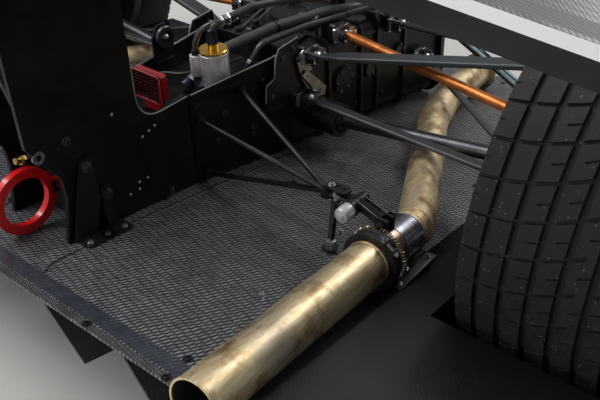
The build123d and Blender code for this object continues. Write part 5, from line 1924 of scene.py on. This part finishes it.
@dataclass
class WheelDressing(Dressing):
    """Centre nut, spoke bolts, valve and disc bobbins of one wheel.

    Attributes:
        side: 1 for the right wheel, -1 for the left.
        nose: offset of the hub nose's outer face.
        nut_profile: distance along the axle and radius of the centre nut's corners.
        lugs: number of lugs on it.
        spokes: number of spoke bolts, and of bobbins.
    """

    side: int
    nose: float = 66.0
    nut_profile: Pairs = ((0, 44.2), (0, 50), (3, 52), (11, 49), (12, 40), (4, 38))
    lugs: int = 12
    spokes: int = 10

    def centre_nut(self, face: Vector, out: Vector) -> None:
        """Lugged nut on the hub's nose, with its cap and stud.

        Args:
            face: middle of the nose's outer face.
            out: the way outboard.
        """
        self.ring(face - out * 0.004, out, self.nut_profile, RED_ANODISED, 48)
        for step in range(self.lugs):
            turn = math.tau * step / self.lugs
            spoke = Vector((0, math.cos(turn), math.sin(turn)))
            self.block(face + spoke * 0.0495 + out * 0.003, (9, 5, 7), RED_ANODISED,
                       Matrix.Rotation(turn, 3, "X"), 0.8)
        self.drum(face, out, 34.0, 5, BLACK_OXIDE, segments=40, edge=1.0)
        self.drum(face + out * 0.005, out, 12.0, 5, BRIGHT_STEEL, segments=6, edge=0.8)

    def add(self) -> None:
        """Add all of it."""
        out = Vector((self.side, 0, 0))
        centre = at(self.side * WHEEL_X, 0, AXLE_HEIGHT)
        self.centre_nut(centre + out * self.nose / 1000, out)
        name, _ = WHEELS[self.side]
        rim, disc = Surface(f"rim_{name}"), Surface(f"brake_disc_{name}")
        clear = out * 0.2
        for step in range(self.spokes):
            turn = math.tau * (step + 0.5) / self.spokes
            spoke = Vector((0, math.cos(turn), math.sin(turn)))
            start = centre + spoke * 0.195 + clear
            seat = rim.under(start, -out)
            if seat != start and (seat - centre).dot(out) > 0:
                self.screw(seat, out, 4.4, BRIGHT_STEEL, 3.6)
            bobbin = centre + spoke * 0.086 - clear
            seat = disc.under(bobbin, out)
            if seat != bobbin:
                self.screw(seat, -out, 5.0, BRIGHT_STEEL, 3.0)
        valve = centre + Vector((0, 0.186, 0.06)) + clear
        seat = rim.under(valve, -out)
        if seat != valve:
            self.drum(seat, out, 4.2, 16, BLACK_OXIDE, top=3.2, segments=16, edge=0.8)

    def build(self) -> None:
        """Make the piece that turns with the wheel."""
        self.add()
        name, body = WHEELS[self.side]
        self.finish(f"wheel_dressing_{name}", body)


@dataclass
class DiffuserDressing(Dressing):
    """Brackets and screws that hold the strakes under the floor.

    Attributes:
        strakes: x of each strake on the right.
        stations: stations of the brackets.
    """

    name = "diffuser_dressing"
    mirrored = True
    strakes: tuple[float, ...] = (170.0, 345.0, 510.0)
    stations: tuple[float, ...] = (-640.0, -480.0, -320.0, -160.0, 0.0)

    def add(self) -> None:
        """Add what stands on the right."""
        floor = Surface("floor_panel")
        turn = Matrix.Rotation(-FLOOR_SLOPE, 3, "X")
        for x in self.strakes:
            for station in self.stations:
                seat = floor.under(at(x - 14, station, 0), SKYWARD)
                place = Matrix.Translation(seat) @ turn.to_4x4()
                self.block(seat + Vector((0, 0, -0.0013)), (22, 34, 3), SATIN_BLACK, turn, 0.6)
                self.block(seat + Vector((0.0096, 0, -0.011)), (3, 34, 20), SATIN_BLACK, turn, 0.6)
                for shift in (-0.01, 0.01):
                    screw = place @ Vector((-0.004, shift, -0.0028))
                    self.screw(screw, -UP, 3.2, BRIGHT_STEEL, 2.0)


# Studio


@dataclass
class Studio:
    """Camera, lights and floor.

    Attributes:
        eye: camera place as x, station and height in millimetres.
        yaw: degrees that it turns left from +Y.
        pitch: degrees that it looks down.
        roll: degrees that it rolls.
        lamps: name, place, target, size and power of each soft box, in metres and watts.
    """

    eye: Place = (1054.3, -1174.8, 1148.3)
    yaw: float = 39.91
    pitch: float = 35.89
    roll: float = -1.98
    lamps: tuple[tuple[str, Place, Place, float, float], ...] = (
        ("key", (-1.6, -1.6, 3.0), (0.3, -0.8, 0.0), 2.6, 138.0),
        ("rear", (-0.8, -4.2, 1.6), (0.5, -0.8, 0.5), 1.6, 32.0),
        ("back", (0.8, 2.2, 2.4), (0.3, -0.6, 0.0), 1.6, 40.0))

    def camera(self) -> None:
        """Set up the camera at the photograph's place."""
        yaw, pitch, roll = (math.radians(value) for value in (self.yaw, self.pitch, self.roll))
        level = math.cos(pitch)
        ahead = Vector((-math.sin(yaw) * level, math.cos(yaw) * level, -math.sin(pitch)))
        right = Vector((math.cos(yaw), math.sin(yaw), 0))
        up = right.cross(ahead)
        across = right * math.cos(roll) + up * math.sin(roll)
        upward = -right * math.sin(roll) + up * math.cos(roll)
        data = bpy.data.cameras.new("camera")
        data.lens = 50.0
        data.sensor_width = 36.0
        data.clip_start = 0.05
        made = bpy.data.objects.new("camera", data)
        turn = Matrix((across, upward, -ahead)).transposed().to_4x4()
        made.matrix_world = Matrix.Translation(at(*self.eye)) @ turn
        bpy.context.scene.collection.objects.link(made)
        bpy.context.scene.camera = made

    def light(self) -> None:
        """Light the part softly from above, a little from the left."""
        world = bpy.data.worlds.new("soft_light")
        bpy.context.scene.world = world
        world.use_nodes = True
        shade = world.node_tree.nodes["Background"]
        shade.inputs["Color"].default_value = (0.93, 0.96, 1.0, 1.0)
        shade.inputs["Strength"].default_value = 0.27
        for name, place, target, size, power in self.lamps:
            data = bpy.data.lights.new(name, "AREA")
            data.size = size
            data.energy = power
            made = bpy.data.objects.new(name, data)
            made.matrix_world = Shape.aim(Vector(place), Vector(place) - Vector(target))
            bpy.context.scene.collection.objects.link(made)
        bpy.context.scene.view_settings.view_transform = "Standard"

    def floor(self) -> None:
        """Lay the floor that the wheels stand on."""
        shape = Shape()
        gap = 0.0005
        place = Matrix.Translation((0, 0, GROUND_Z / 1000 - gap))
        made = bmesh.ops.create_grid(shape.bm, x_segments=2, y_segments=2, size=9.0, matrix=place)
        shape.dress(made["verts"], STUDIO_FLOOR)
        bmesh.ops.recalc_face_normals(shape.bm, faces=list(shape.bm.faces))
        piece = shape.link("studio_floor")

    def build(self) -> None:
        """Set up the whole studio."""
        self.camera()
        self.light()
        self.floor()


def dress_frame() -> None:
    """Give every CAD node its finish."""
    for finish, nodes in NODE_FINISH.items():
        for name in nodes:
            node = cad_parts[name]
            if not node.material_slots:
                node.data.materials.append(None)
            for place in node.material_slots:
                place.link = "OBJECT"
                place.material = finish.material()
    log.info("dressed %d nodes", sum(len(nodes) for nodes in NODE_FINISH.values()))


def main() -> None:
    """Build every piece in order."""
    logging.basicConfig(level=logging.INFO, format="%(message)s")
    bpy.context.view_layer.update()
    Studio().build()
    dress_frame()
    for side in (1, -1):
        Tyre(side).build()
        WheelDressing(side).build()
    for kind in (FloorDressing, ExhaustDressing, HangerDressing, TankDressing, HoseDressing, PylonDressing,
                 GearboxDressing, ArmDressing, WingDressing, LampDressing, TowDressing, DiffuserDressing):
        kind().build()


if __name__ == "__main__":
    main()
